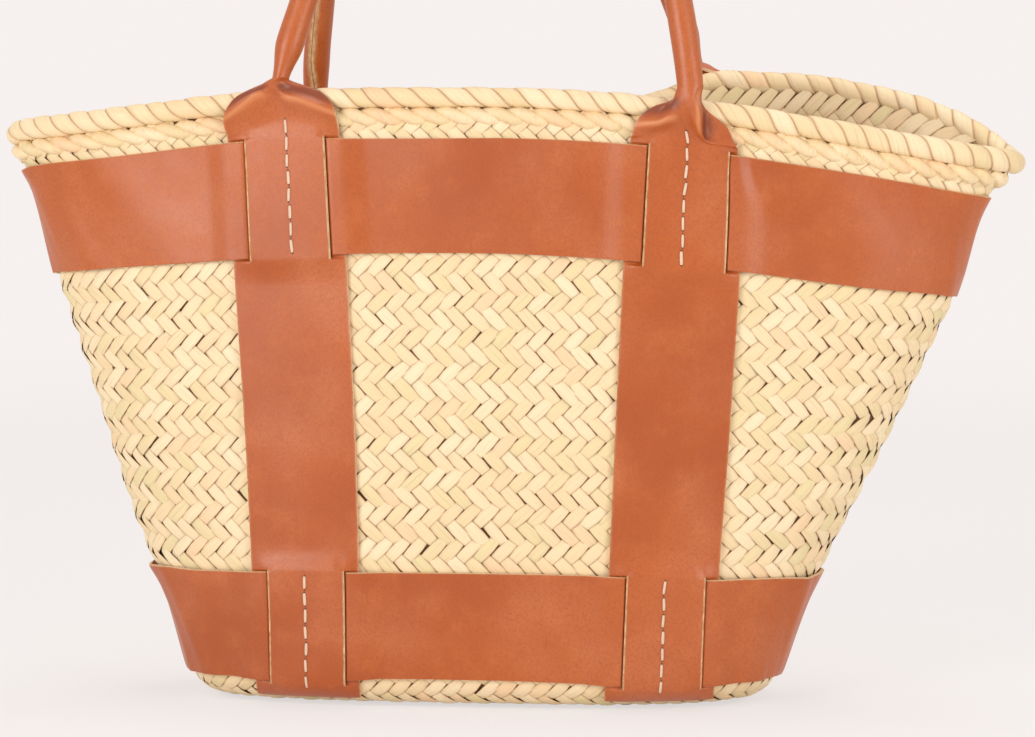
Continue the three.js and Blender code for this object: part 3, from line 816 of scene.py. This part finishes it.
def leather_finish(name):
    """Tan hide with a pale raw edge. Painted sheen, a painted highlight on shoulder ridges, painted shade in
    their hollows.
    """
    leather = Finish(name)
    where = leather.place()
    cloud = leather.noise(where, 9.0, 3.0, 0.55)
    mottle = leather.noise(where, 70.0, 3.0, 0.6)
    grain = leather.noise(where, 780.0, 3.0, 0.7)
    cells = leather.node("ShaderNodeTexVoronoi", {"feature": "DISTANCE_TO_EDGE"},
                         {"Vector": where, "Scale": 1300.0})
    streak = leather.noise(leather.stretch(where, (700.0, 700.0, 70.0)), 1.0, 2.0)
    tone = leather.mix(deep_tan, full_tan, leather.fade(cloud, 0.3, 0.7))
    tone = leather.mix(tone, light_tan, leather.fade(mottle, 0.45, 0.8, 0, 0.35))
    # Painted sheen: broad pale pink patches stand in for the soft reflections of the lamps on the leather.
    painted_sheen_noise = leather.noise(where, 17.0, 2.0)
    tone = leather.mix(tone, sheen_painted_tan, leather.fade(painted_sheen_noise, 0.4, 0.8, 0, 0.36))
    tone = leather.mix(tone, dark_tan, leather.fade(streak, 0.5, 0.8, 0, 0.12))
    tone = leather.mix(tone, dark_tan, leather.fade(grain, 0.40, 0.70, 0, 0.45))
    # Painted highlight along the shoulders' ridges and painted shade in the hollows above them.
    fold = leather.node("ShaderNodeAttribute", {"attribute_name": "fold"}, None, "Fac")
    tone = leather.mix(tone, fold_highlight_tan, leather.fade(fold, 0.0, 1.0, 0, 0.8))
    tone = leather.mix(tone, fold_shade_brown, leather.fade(fold, 0.0, -1.0, 0, 0.9))
    raw = leather.node("ShaderNodeAttribute", {"attribute_name": "raw"}, None, "Fac")
    raw = raw * leather.fade(leather.noise(where, 260.0, 2.0), 0.3, 0.5, 0.45, 1.0)
    fibre = leather.noise(leather.stretch(where, (900.0, 900.0, 160.0)), 1.0, 3.0, 0.7)
    tone = leather.mix(tone, leather.ramp(fibre, flesh_tones), raw)
    pores = leather.bump(cells, 0.25, 0.00012)
    relief = leather.bump(mottle, 0.12, 0.0006, pores)
    relief = leather.bump(fibre * raw, 0.8, 0.0005, relief)
    roughness = leather.fade(mottle, 0.2, 0.8, 0.33, 0.46) + raw * 0.4
    return leather.shine({
        "Base Color": tone, "Roughness": roughness, "Specular IOR Level": 0.5, "Normal": relief,
    })


def raw_edge_finish():
    edge = Finish("cut_leather_edge")
    fibre = edge.noise(edge.place(), 1500.0, 3.0, 0.7)
    bump = edge.bump(fibre, 0.6, 0.0004)
    return edge.shine({"Base Color": edge.ramp(fibre, cut_tones), "Roughness": 0.85, "Normal": bump})


leather_material = leather_finish("tan_leather")
edge_material = raw_edge_finish()


def strap_x(strap, side, across, run):
    """Where a strap's column lies along the bag. Across is to the right as the strap is seen."""
    share = level(run)[0] / wall_height
    space_at_rim = strap_space_at_rim - (right_strap_inset if strap > 0 else 0)
    space = mix(strap_space_at_base, space_at_rim, share)
    if strap < 0:
        space = space + left_strap_kick * np.maximum(0, 1 - share / kick_end) ** 2
    width = mix(*strap_widths, np.clip(share / full_width_share, 0, 1))
    nip = 0.0
    if strap != side:
        nip = right_strap_nip * np.maximum(across, 0)
        nip = (nip + right_margin_nip * np.maximum(across - right_slit, 0)) * smooth(share, *nip_zone)
    return panel_centre + strap * space - side * (across * width - nip)


def turn_at_x(x, run, side):
    """The turn on the front (side -1) or the back (side 1) at a place along the bag."""
    _, share, centre, half_length, _ = level(run)
    along = (x - centre) / half_length
    angle = np.arccos(np.clip(np.abs(along), 0, 1) ** (roundness(share, along < 0) / 2))
    turn = side * np.where(along < 0, math.pi - angle, angle)
    return np.where(turn > math.pi / 2 + 1e-6, turn - 2 * math.pi, turn)


bevel_from = math.radians(55)


def finish_leather(piece, body, edge, *nodes):
    """Gives a leather sheet its thickness, soft cut edges and finish."""
    piece.data.materials.append(leather_material)
    piece.data.materials.append(edge_material)
    apply_modifier(piece, "SOLIDIFY", {"thickness": leather_thickness, "offset": -1,
                                       "material_offset_rim": 1, "use_quality_normals": True})
    apply_modifier(piece, "BEVEL", {"width": edge, "segments": 2, "limit_method": "ANGLE",
                                    "angle_limit": bevel_from, "material": 1})
    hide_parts(*nodes)
    if body:
        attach(piece, body)


climb_length = 0.0140
climb_end = 0.0004
dive_start = 0.0014
dive_end = 0.0008
band_knots = [  # distance from a strap's middle, and 1 where the band lies over the strap's margin
    (-strap_half - climb_length, 0), (-strap_half + climb_end, 1),
    (left_slit - dive_start, 1), (left_slit + dive_end, 0),
    (right_slit - dive_end, 0), (right_slit + dive_start, 1),
    (strap_half - climb_end, 1), (strap_half + climb_length, 0),
]
knot_steps = [7, 4, 6, 14, 6, 4, 7]
end_steps = 70
middle_steps = 34


def band_turns_and_lifts(run):
    """Columns of a band at a run: along the front from the left end to the right, then back."""
    turns, lifts = [], []

    def add(first, last, low, high, steps):
        shares = np.arange(steps) / steps
        turns.append(mix(first, last, shares))
        lifts.append(mix(low, high, shares))

    for side in (-1, 1):
        straps = []
        for strap in (side, -side):
            knots = [turn_at_x(strap_x(strap, side, across, run), run, side) for across, _ in band_knots]
            straps.append([turn if turn * side > 0 else turn + side * 2 * math.pi for turn in knots])
        first, second = straps
        corner = -math.pi if side < 0 else 0.0
        add(corner, first[0], 0, 0, end_steps)
        for knots, after in ((first, second[0]), (second, corner + math.pi)):
            for i, steps in enumerate(knot_steps):
                add(knots[i], knots[i + 1], band_knots[i][1], band_knots[i + 1][1], steps)
            add(knots[-1], after, 0, 0, middle_steps if after == second[0] else end_steps)
    return np.concatenate(turns), np.concatenate(lifts)


ripple = 0.0004
end_pucker = (0.0003, 0.80, 0.95)
end_ripple = (0.0005, 0.55, 0.85)
trim_fault = 0.0005
bow_reach = 0.35
left_flare = (0.0014, 0.8, 1)
band_edge = 0.00045


def band(name, start, height, low_bow, high_bow, node, seed):
    """A band in rows from its lower edge up. A bow lifts its edge in the middle of front and back."""
    rows, raw = [], []
    for share in np.concatenate([[0, 0.012], np.linspace(0.04, 0.96, 12), [0.988, 1]]):
        run = start + share * height
        turns, lifts = band_turns_and_lifts(run)
        to_right = np.cos(turns)
        waves = ripple * np.sin(5 * turns + 3 * seed) * np.sin(11 * turns + seed + 4 * share)
        waves += climb(np.abs(to_right), end_pucker) * np.sin(turns * 31 + 4 * share + seed)
        waves += climb(np.abs(to_right), end_ripple) * np.sin(15 * turns + 5 * share + 2 * seed)
        trim = trim_fault * np.sin(9 * turns + seed) * (share - 0.5)
        trim += hump(to_right, (mix(low_bow, high_bow, share), 0, bow_reach))
        flare = climb(share, left_flare) * smooth(-to_right, 0.9, 1)
        offset = straw_gap + leather_thickness + layer * smooth(lifts, 0, 1)
        offset = offset + np.maximum(waves, -straw_gap) + flare
        rows.append(off_wall(turns, run + trim, offset))
        raw.append((0.6 + 0.3 * np.sin(6 * turns + seed)) * (share == 1))
    rows = np.array(rows)
    piece = piece_from(name, rows, grid_faces(len(rows), rows.shape[1], True), {"raw": np.concatenate(raw)})
    finish_leather(piece, "basket", band_edge, node)


band("leather_band_lower", lower_band_start, lower_band_height, 0.0020, 0.0008, "band_lower", 1.0)
band("leather_band_upper", upper_band_start, upper_band_height, 0.0019, 0.0, "band_upper", 2.0)

# Straps and handles: each side has one long leather piece. It runs up the left strap, folds over the
# rim and gathers into a neck, is rolled round a cord as the handle, and comes down as the right strap.
neck_stand_off = 0.008
neck_rise = 0.0105
neck_shifts = {(-1, -1): 0.0028, (-1, 1): -0.0020, (1, -1): 0.0022, (1, 1): -0.0078}  # by side and strap
handle_radius = 0.0074
handle_height = 0.218
handle_peak = 1.75
apex_shift = 0.008
handle_steps = 161
handle_fault = 0.025
handle_waves = (140, 53)
neck_length = 0.020
handle_lean = math.radians(12)
strap_start = 0.0175
rim_top = 0.34
hood_lead = -0.0075
hood_foot = 0.002
hood_rows = 30
hood_shares = np.linspace(0, 1, hood_rows + 1)[1:-1]
neck_depth = 0.0058
left_neck_width = 0.0044
right_neck_width = 0.0068
seam_angle = 0.03
seam_twist = 0.35
margin_columns = 5
tongue_columns = 25
cut_edge = 0.0005
cut_edge_fade = 0.0011
strap_edge_zone = (strap_half - 0.0007, strap_half - 0.0002)
strap_edge_share = 0.6
strap_edge = 0.0006
slit_end = 0.0016
seam_zone = (0.0268, 0.0280)
# Where the shoulders get painted light: a ridge with a painted highlight, a hollow with painted shade, and
# an upright pair on right shoulders.
shoulder_ridge = (0.9, 0.4, 0.06)
shoulder_hollow = (1, 0.64, 0.14)
off_middle = (0.001, 0.008)
upright_from = 0.004
upright_fold = 0.9
upright_ridge = (1, 0.0105, 0.0022)
upright_hollow = (1.1, 0.0170, 0.0034)

# Where the leather of a shoulder runs, row by row from the band's top edge to the neck, for ten columns
# from the strap's left edge to its right: millimetres across, up the bag and out of the wall.
hood_columns = np.array([-1, -0.8, -0.55, -0.3, 0, 0.3, 0.45, 0.6, 0.8, 1])
left_hood = np.array([
    [(-30, 8, 5.3), (-24, 9, 5.4), (-16.5, 10, 5.5), (-9, 12, 5.3), (0, 12.5, 4.9),
     (9, 12, 5.3), (13.5, 11, 5.5), (18, 10, 5.5), (24, 9, 5.4), (30, 8, 5.3)],
    [(-30, 13.5, 7.2), (-25, 16, 9.2), (-18, 20.5, 11), (-10.6, 24.8, 12.4), (-2, 23.5, 8),
     (6, 22.2, 11.2), (11, 21.3, 11.2), (16, 19.2, 10.6), (23.5, 15.8, 9.2), (29.5, 13.3, 7.2)],
    [(-28, 19.3, 6), (-24.5, 21, 6.8), (-18, 24.4, 7.2), (-9.8, 27, 9.2), (-2.2, 27.4, 11),
     (4, 26, 9), (8.6, 25.2, 7.2), (14, 24, 6.8), (22.3, 20.8, 6.6), (27.8, 19.2, 6)],
    [(-22.5, 25, 5.2), (-18.5, 26.3, 5.8), (-13, 28, 6.6), (-7.4, 29.3, 9.2), (-1.8, 29.8, 12.4),
     (3.8, 29.4, 9.2), (6.8, 28.6, 6.6), (10.6, 27.6, 5.6), (17, 26.2, 5.4), (22, 24.8, 5.2)],
    [(-13, 29, 2.2), (-10.3, 30, 4), (-7.4, 30.8, 6.3), (-5, 31.6, 9.6), (-1, 31.6, 13.2),
     (3.6, 31.6, 9.8), (4.9, 31.3, 7.4), (6.6, 30.8, 5.2), (9.6, 30, 3.4), (12, 29, 2)],
]) / 1000
right_hood = np.array([
    [(-29.3, 5, 5), (-23.6, 6, 5.5), (-16.2, 7, 5.6), (-9.4, 8.5, 5.6), (-1, 9, 5.6),
     (5.7, 7, 7.2), (8, 5.6, 8.4), (11.2, 4.8, 7), (19.5, 4.4, 6), (28.1, 4.2, 5)],
    [(-28, 11, 5.6), (-23, 11.6, 8.4), (-16, 12.8, 10.8), (-10.4, 15.6, 12), (-3, 16.5, 9),
     (3.5, 13, 12), (6.2, 11.4, 11.6), (8.5, 8.6, 6), (17.4, 7.6, 5.6), (25.2, 6.6, 5.4)],
    [(-25, 16.2, 6), (-20.8, 17.6, 6.5), (-15.4, 18.6, 7.2), (-9.6, 21, 10.8), (-3.2, 22, 12.6),
     (2.8, 19, 13.6), (5.7, 17.2, 12), (8.3, 13, 5.4), (16.5, 11, 5.6), (22.7, 9.5, 5.5)],
    [(-18.5, 21.4, 6), (-15.6, 22.2, 6.4), (-11.6, 23, 7.6), (-8.6, 25.2, 10.8), (-2.6, 26.6, 14),
     (2.5, 24.5, 14), (5.1, 22.6, 11.4), (7.6, 19.4, 6.2), (13.8, 16.6, 5.8), (18.8, 14.6, 5.4)],
    [(-9.6, 25.5, 4), (-9, 26.4, 4.8), (-8.6, 27.6, 6.4), (-8.4, 29, 10), (-2.2, 30, 14),
     (2.3, 29, 13), (4.4, 27.6, 10), (5.0, 25.6, 6.2), (6.0, 24, 4.6), (6.7, 23, 4)],
]) / 1000
hood_stages = np.array([-0.16, 0, 0.2, 0.4, 0.56, 0.72, 0.87, 1])
neck_pull = (0, 0.15, 0.4, 0.7, 0.9)
neck_join = 0.82
back_hood_drop = 0.0042
flank = (0.004, 0.012)


def smooth_curve(places, values, wanted):
    """Values on a smooth curve through the values given at some places."""
    slopes = np.gradient(values, places, axis=0)
    low = np.clip(np.searchsorted(places, wanted, "right") - 1, 0, len(places) - 2)
    span = (places[low + 1] - places[low])[:, None]
    share = (wanted - places[low])[:, None] / span
    first, second = values[low], values[low + 1]
    out, into = slopes[low] * span, slopes[low + 1] * span
    square, cube = share ** 2, share ** 3
    return (first * (2 * cube - 3 * square + 1) + out * (cube - 2 * square + share)
            + second * (3 * square - 2 * cube) + into * (cube - square))


def neck_point(side, strap):
    x = strap_x(strap, side, 0, rim_top)
    point, normal, rise = wall_frame(turn_at_x(x, rim_top, side), rim_top)
    return point + normal * neck_stand_off + rise * neck_rise + np.array([neck_shifts[side, strap], 0, 0])


def hinge_frame(side):
    start, end = neck_point(side, side), neck_point(side, -side)
    along = unit(end - start)
    out = unit(np.cross(along, (0, 0, 1)))
    upward = np.cross(out, along)
    rise = upward * math.cos(handle_lean) - out * math.sin(handle_lean)
    return start, end, along, rise, np.cross(along, rise)


def strap_point(side, strap, across, run, offset):
    x = strap_x(strap, side, across, run)
    return off_wall(turn_at_x(x, run, side), run, offset)


strap_ramp = (0.0004, 0.013)
tongue_reach = (0.0015, 0.011)
tongue_shoulder = 0.006
tongue_clear = 0.0002
margin_dive = (0.0003, 0.0017)
margin_fall = 0.002


def strap_offset(across, run, is_tongue):
    """How far a strap's face is off the straw: its tongues are raised, its margins under the band."""
    lift = np.zeros_like(across)
    for start, height in bands:
        outside = np.maximum(start - run, run - (start + height))
        ramp = 1 - smooth(outside, *strap_ramp)
        if is_tongue:
            from_slit = np.minimum(across - left_slit, right_slit - across)
            reach = mix(*tongue_reach, smooth(from_slit, 0, tongue_shoulder))
            over_band = 1 - smooth(outside, tongue_clear, reach)
            lift = np.maximum(lift, ramp * np.ones_like(across) + over_band * tongue_rise / layer)
        else:
            slit = np.where(across < 0, left_slit, right_slit)
            fall = 1 - smooth(np.abs(across), np.abs(slit), strap_half + margin_fall)
            lift = np.maximum(lift, ramp * fall * smooth(outside, *margin_dive))
    return straw_gap + leather_thickness + layer * lift


def ring_round(middle, side_way, face, columns, wide, deep, twist=0.0):
    """The strap's columns rolled round a middle line, with their seam away from the face."""
    turn = columns / strap_half * (math.pi - seam_angle) + np.asarray(twist)[..., None]
    return (middle[..., None, :] + side_way[..., None, :] * (wide[..., None] * np.sin(turn))[..., None]
            + face * (deep[..., None] * np.cos(turn))[..., None])


def hood_points(side, strap, columns, is_tongue):
    """The shoulder: rows from just above the band to the neck."""
    is_left = strap == side
    neck_half = left_neck_width if is_left else right_neck_width
    shares = columns / strap_half
    flat = []
    for height in (hood_lead, hood_foot):
        offset = strap_offset(columns, upper_band_end + max(height, hood_foot), is_tongue)
        flat.append(np.stack([columns, np.full(len(columns), height), offset], -1))
    rows = [smooth_curve(hood_columns, row, shares) for row in (left_hood if is_left else right_hood)]
    shift = -side * neck_shifts[side, strap]
    further = shift - neck_shifts[-1, -1 if is_left else 1]
    for row, share in zip(rows, neck_pull):
        if side > 0:
            row[:, 1] -= back_hood_drop * smooth(np.abs(row[:, 0]), *flank) * share
        row[:, 0] += further * share
    turn = shares * (math.pi - seam_angle)
    up = np.full(len(turn), rim_top + neck_rise - upper_band_end)
    rows.append(np.stack([shift + neck_half * np.sin(turn), up,
                          neck_stand_off + neck_depth * np.cos(turn)], -1))
    net = np.array(flat + rows)
    start, end, along, _, face = hinge_frame(side)
    neck = start if is_left else end
    ring = ring_round(neck, along, face, columns, np.array(neck_half), np.array(neck_depth))
    made = []
    for stage in hood_shares:
        spots = smooth_curve(hood_stages, net.reshape(len(net), -1), np.array([stage])).reshape(-1, 3)
        flat_spots = strap_point(side, strap, spots[:, 0], upper_band_end + spots[:, 1], spots[:, 2])
        made.append(mix(flat_spots, ring, smooth(stage, neck_join, 1)))
    return made


cut_steps = np.array([0.0008, 0.0014, 0.0017])
lower_band_end = lower_band_start + lower_band_height
strap_ways = np.concatenate([
    np.linspace(strap_start, 0.024, 4), lower_band_start - cut_steps[::-1],
    np.linspace(lower_band_start, lower_band_end, 16),
    lower_band_end + cut_steps, np.linspace(0.089, 0.095, 4), np.linspace(0.099, 0.248, 38),
    [0.2505, 0.2525], upper_band_start - cut_steps[::-1],
    np.linspace(upper_band_start, upper_band_end, 16), upper_band_end + cut_steps,
    [upper_band_end + hood_foot],
])


def strap_rows(side, strap, columns, is_tongue):
    """The strap's rows from its foot up to the neck."""
    flat = []
    for way in strap_ways:
        offset = strap_offset(columns, way, is_tongue)
        flat.append(strap_point(side, strap, columns, np.full(len(columns), way), offset))
    return np.array(flat + hood_points(side, strap, columns, is_tongue))


def handle_path(side):
    """The handle's middle line, and how far along it each point is."""
    start, end, along, rise, face = hinge_frame(side)
    half = np.linalg.norm(end - start) / 2
    turns = np.concatenate([[0.0], math.pi * np.linspace(0, 1, handle_steps)[2:-2], [math.pi]])

    def spine(turn):
        lift = np.abs(np.sin(turn)) ** handle_peak
        x = apex_shift * lift - half * np.cos(turn)
        return (start + end) / 2 + along * x[..., None] + rise * (handle_height * lift)[..., None]

    points = spine(turns)
    forward = spine(turns + 0.001) - spine(turns - 0.001)
    forward[0], forward[-1] = rise, -rise
    return points, unit(forward), face, lengths_along(points)


def handle_rows(side, columns):
    """The handle's rows from the left neck to the right one. Its thickness is a little uneven."""
    points, forward, face, way = handle_path(side)
    uneven = 1 + handle_fault * np.sin(way * handle_waves[0] + side) * np.sin(way * handle_waves[1])
    from_start, from_end = smooth(way, 0, neck_length), smooth(way[-1] - way, 0, neck_length)
    wide = np.minimum(mix(left_neck_width, handle_radius, from_start),
                      mix(right_neck_width, handle_radius, from_end)) * uneven
    deep = mix(neck_depth, handle_radius, np.minimum(from_start, from_end)) * uneven
    wide[0], wide[-1], deep[0], deep[-1] = left_neck_width, right_neck_width, neck_depth, neck_depth
    twist = seam_twist * np.minimum(from_start, from_end)
    return ring_round(points, np.cross(forward, face), face, columns, wide, deep, twist)


def leather_columns(low, high):
    """Columns of the left margin, the tongue and the right margin, closer together at cut edges."""
    strips = []
    for first, last, count in ((-strap_half, low, margin_columns), (low, high, tongue_columns),
                               (high, strap_half, margin_columns)):
        inner = np.linspace(first + cut_edge_fade, last - cut_edge_fade, count)
        strips.append(np.concatenate([[first, first + cut_edge], inner, [last - cut_edge, last]]))
    return strips


def cut_edge_marks(columns, ways, is_tongue):
    """1 on cut edges: the strap's own sides, and the sides of its slits."""
    sides = smooth(np.abs(columns), *strap_edge_zone) * strap_edge_share
    from_edge = np.minimum(columns - columns[0], columns[-1] - columns)
    slits = 1 - smooth(from_edge, cut_edge, cut_edge_fade)
    in_slit = np.zeros(len(ways))
    for start, height in bands:
        in_slit[(ways > start - slit_end) & (ways < start + height + slit_end)] = 1
    return np.maximum(sides[None], slits[None] * in_slit[:, None] * is_tongue)


def fold_light_marks(across, stages, is_left):
    """Above 0 on a shoulder's ridges, which get a painted highlight, and below 0 in the hollows over them,
    which get painted shade.
    """
    marks = hump(stages, shoulder_ridge) - hump(stages, shoulder_hollow)
    marks = marks[:, None] * smooth(np.abs(across), *off_middle)
    if is_left:
        return marks
    risen = smooth(stages, 0.15, 0.35) * (1 - smooth(stages, 0.85, 1))
    upright = hump(across, upright_ridge) - hump(across, upright_hollow)
    return np.where(across > upright_from, upright_fold * risen[:, None] * upright, marks)


def strap_and_handle(name, side, body, *nodes):
    """Left margin, tongue and right margin, each from the left foot over the handle to the right foot."""
    rising = leather_columns(left_slit, right_slit)
    falling = leather_columns(-right_slit, -left_slit)
    ways = np.concatenate([strap_ways, np.ones(len(hood_shares))])
    points, faces, raws, folds, start = [], [], [], [], 0
    for left, right, is_tongue in zip(rising, falling, (False, True, False)):
        up = strap_rows(side, side, left, is_tongue)
        down = strap_rows(side, -side, -right, is_tongue)[::-1]
        columns = (left + right) / 2
        arch = handle_rows(side, columns)
        rows = np.concatenate([up, arch, down])
        raw = np.zeros(rows.shape[:2])
        raw[:len(up)] = cut_edge_marks(left, ways, is_tongue)
        raw[-len(down):] = cut_edge_marks(right, ways, is_tongue)[::-1]
        raw[len(up) + 3:-len(down) - 3] = smooth(np.abs(columns), *seam_zone)
        # Marks for the painted highlight and painted shade on both shoulders.
        fold = np.zeros(rows.shape[:2])
        fold[len(strap_ways):len(up)] = fold_light_marks(left, hood_shares, True)
        fold[-len(down):-len(strap_ways)] = fold_light_marks(-right, hood_shares, False)[::-1]
        points.append(rows.reshape(-1, 3))
        raws.append(raw.ravel())
        folds.append(fold.ravel())
        faces.append(grid_faces(rows.shape[0], rows.shape[1], False) + start)
        start += rows.shape[0] * rows.shape[1]
    piece = piece_from(name, np.concatenate(points), np.concatenate(faces),
                       {"raw": np.concatenate(raws), "fold": np.concatenate(folds)})
    bpy.ops.object.mode_set(mode="EDIT")
    bpy.ops.mesh.select_all(action="SELECT")
    bpy.ops.mesh.remove_doubles(threshold=0.00001)
    bpy.ops.object.mode_set(mode="OBJECT")
    finish_leather(piece, None, strap_edge, *nodes)
    start, end, _, rise, face = hinge_frame(side)
    upward = rise * math.cos(handle_lean) + face * math.sin(handle_lean)
    middle = (start + end) / 2
    tuple(middle - upward * 0.007)
    tuple(middle + upward * 0.008)
    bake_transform(piece)


strap_and_handle("straps_and_handle_front", -1, "front_handle",
                 "strap_front_left", "strap_front_right", "handle_front")
strap_and_handle("straps_and_handle_back", 1, "back_handle",
                 "strap_back_left", "strap_back_right", "handle_back")

# Handle cords: cotton cord of three twisted strands, round which the leather of a handle is rolled. It
# fills the handle, keeps it round and stops short of the necks.
cord_radius = 0.0046
cord_strands = 3
cord_groove = 0.14
cord_lay = 0.022
cord_sides = 18
cord_end = 0.018
cord = Finish("cotton_cord")
cord_fibre = cord.noise(cord.place(), 1200.0, 3.0)
cord_tone = cord.mix((0.62, 0.52, 0.36), (0.80, 0.72, 0.56), cord_fibre)
cord_material = cord.shine({"Base Color": cord_tone, "Roughness": 0.9})

for side, body, node in ((-1, "front_handle", "handle_core_front"), (1, "back_handle", "handle_core_back")):
    points, forward, face, way = handle_path(side)
    inner = (way > cord_end) & (way < way[-1] - cord_end)
    points, forward, way = points[inner], forward[inner], way[inner]
    turn = 2 * math.pi * np.arange(cord_sides) / cord_sides
    lay = (turn[None] - 2 * math.pi * (way / cord_lay)[:, None]) / 2
    radius = cord_radius * (1 - cord_groove * (1 - np.abs(np.cos(cord_strands * lay))))
    side_way = np.cross(forward, face)
    ring = side_way[:, None] * (radius * np.sin(turn))[..., None] + face * (radius * np.cos(turn))[..., None]
    last_ring = (len(points) - 1) * cord_sides
    caps = [list(range(cord_sides))[::-1], list(range(last_ring, last_ring + cord_sides))]
    sides = grid_faces(len(points), cord_sides, True).tolist()
    cord_piece = piece_from(f"cord_{body}", points[:, None] + ring, sides + caps, is_smooth=False)
    cord_piece.data.materials.append(cord_material)
    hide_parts(node)
    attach(cord_piece, body)

# Stitches: waxed thread, down the middle of each strap at each band. Each stitch is a plump strand
# that dips into its two holes, and the upper lines run on past the band, up the shoulder.
stitch_pitch = 0.0091
stitch_length = 0.0088
stitch_radius = 0.00078
stitch_flatness = 0.8
stitch_dip = (0.0004, 0.7, 1.0)
stitch_lift = 0.0003
stitch_span = 0.0015
lean_spread = 0.055
size_spread = 0.07
length_spread = 0.03
line_spread = 0.00015
thread = Finish("waxed_thread")
stitch_hole_shade_mark = thread.node("ShaderNodeAttribute", {"attribute_name": "stitch"}, None, "Fac")
thread_grain = thread.noise(thread.stretch(thread.place(), (700.0, 700.0, 3000.0)), 1.0, 2.0)
thread_tone = thread.mix((0.62, 0.41, 0.27), (0.84, 0.67, 0.50), thread_grain)
# Painted shade: each stitch's ends turn nearly black, standing in for the shade in the holes where the
# thread dips into the leather.
thread_tone = thread.mix(thread_tone, (0.10, 0.035, 0.012), thread.fade(stitch_hole_shade_mark, 0.62, 0.78))
thread_material = thread.shine({
    "Base Color": thread_tone, "Roughness": 0.55, "Normal": thread.bump(thread_grain, 0.4, 0.0002),
})

bpy.ops.mesh.primitive_uv_sphere_add(segments=10, ring_count=12, radius=1)
one_stitch = bpy.context.object
stitch_points = np.array([v.co for v in one_stitch.data.vertices])
stitch_faces = [list(face.vertices) for face in one_stitch.data.polygons]
bpy.data.objects.remove(one_stitch)
# The ball becomes a strand: its girth hardly falls until near its ends, where it dips into its holes.
stitch_mark = np.abs(stitch_points[:, 2])
stitch_along = np.sign(stitch_points[:, 2]) * stitch_mark ** 0.7 * stitch_length / 2
ball_girth = np.sqrt(np.maximum(0, 1 - stitch_mark ** 2))
strand_girth = np.sqrt(1 - np.minimum(1, stitch_mark) ** 3)
stitch_thick = strand_girth / np.maximum(0.15, ball_girth) * (1 - 0.3 * stitch_mark ** 2)
stitch_across = stitch_points[:, 0] * stitch_thick * stitch_radius
stitch_out = stitch_points[:, 1] * stitch_thick * stitch_radius * stitch_flatness
stitch_out -= climb(stitch_mark, stitch_dip)


def stitch_line(name, side, strap, low, count, aside, node):
    """A line of stitches up a strap from a run, a little aside of the strap's middle."""
    rows = strap_rows(side, strap, np.array([-stitch_span, 0.0, stitch_span]), True)
    middle = rows[:, 1]
    way = lengths_along(middle) + strap_start
    across = unit(rows[:, 2] - rows[:, 0])

    def along_line(values, places):
        return np.stack([np.interp(places, way, values[:, i]) for i in range(3)], -1)

    points, faces = [], []
    for number in range(count):
        centre = low + (number + 0.5) * stitch_pitch
        lean = random.normal(0, lean_spread)
        size = random.normal(1, size_spread)
        places = centre + stitch_along * random.normal(1, length_spread)
        spot, beside = along_line(middle, places), along_line(across, places)
        out = unit(np.cross(beside, along_line(middle, places + 0.001) - spot))
        shift = aside + random.normal(0, line_spread) + stitch_along * lean + stitch_across * size
        points.append(spot + beside * shift[:, None] + out * (stitch_out * size + stitch_lift)[:, None])
        faces += [[i + number * len(stitch_points) for i in face] for face in stitch_faces]
    line = piece_from(name, np.concatenate(points), faces, {"stitch": np.tile(stitch_mark, count)})
    line.data.materials.append(thread_material)
    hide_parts(node)
    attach(line, "basket")


for side, side_name in ((-1, "front"), (1, "back")):
    for strap, strap_name in ((-1, "left"), (1, "right")):
        label = f"{side_name}_{strap_name}"
        top_low, top_aside = (0.0570, 0.0024) if strap == side else (0.0615, -0.0006)
        stitch_line(f"stitches_{label}_lower", side, strap, lower_band_start - 0.0015, 7, 0.0004,
                    f"thread_{label}_lower")
        stitch_line(f"stitches_{label}_upper", side, strap, upper_band_end - top_low, 8, top_aside,
                    f"thread_{label}_upper")
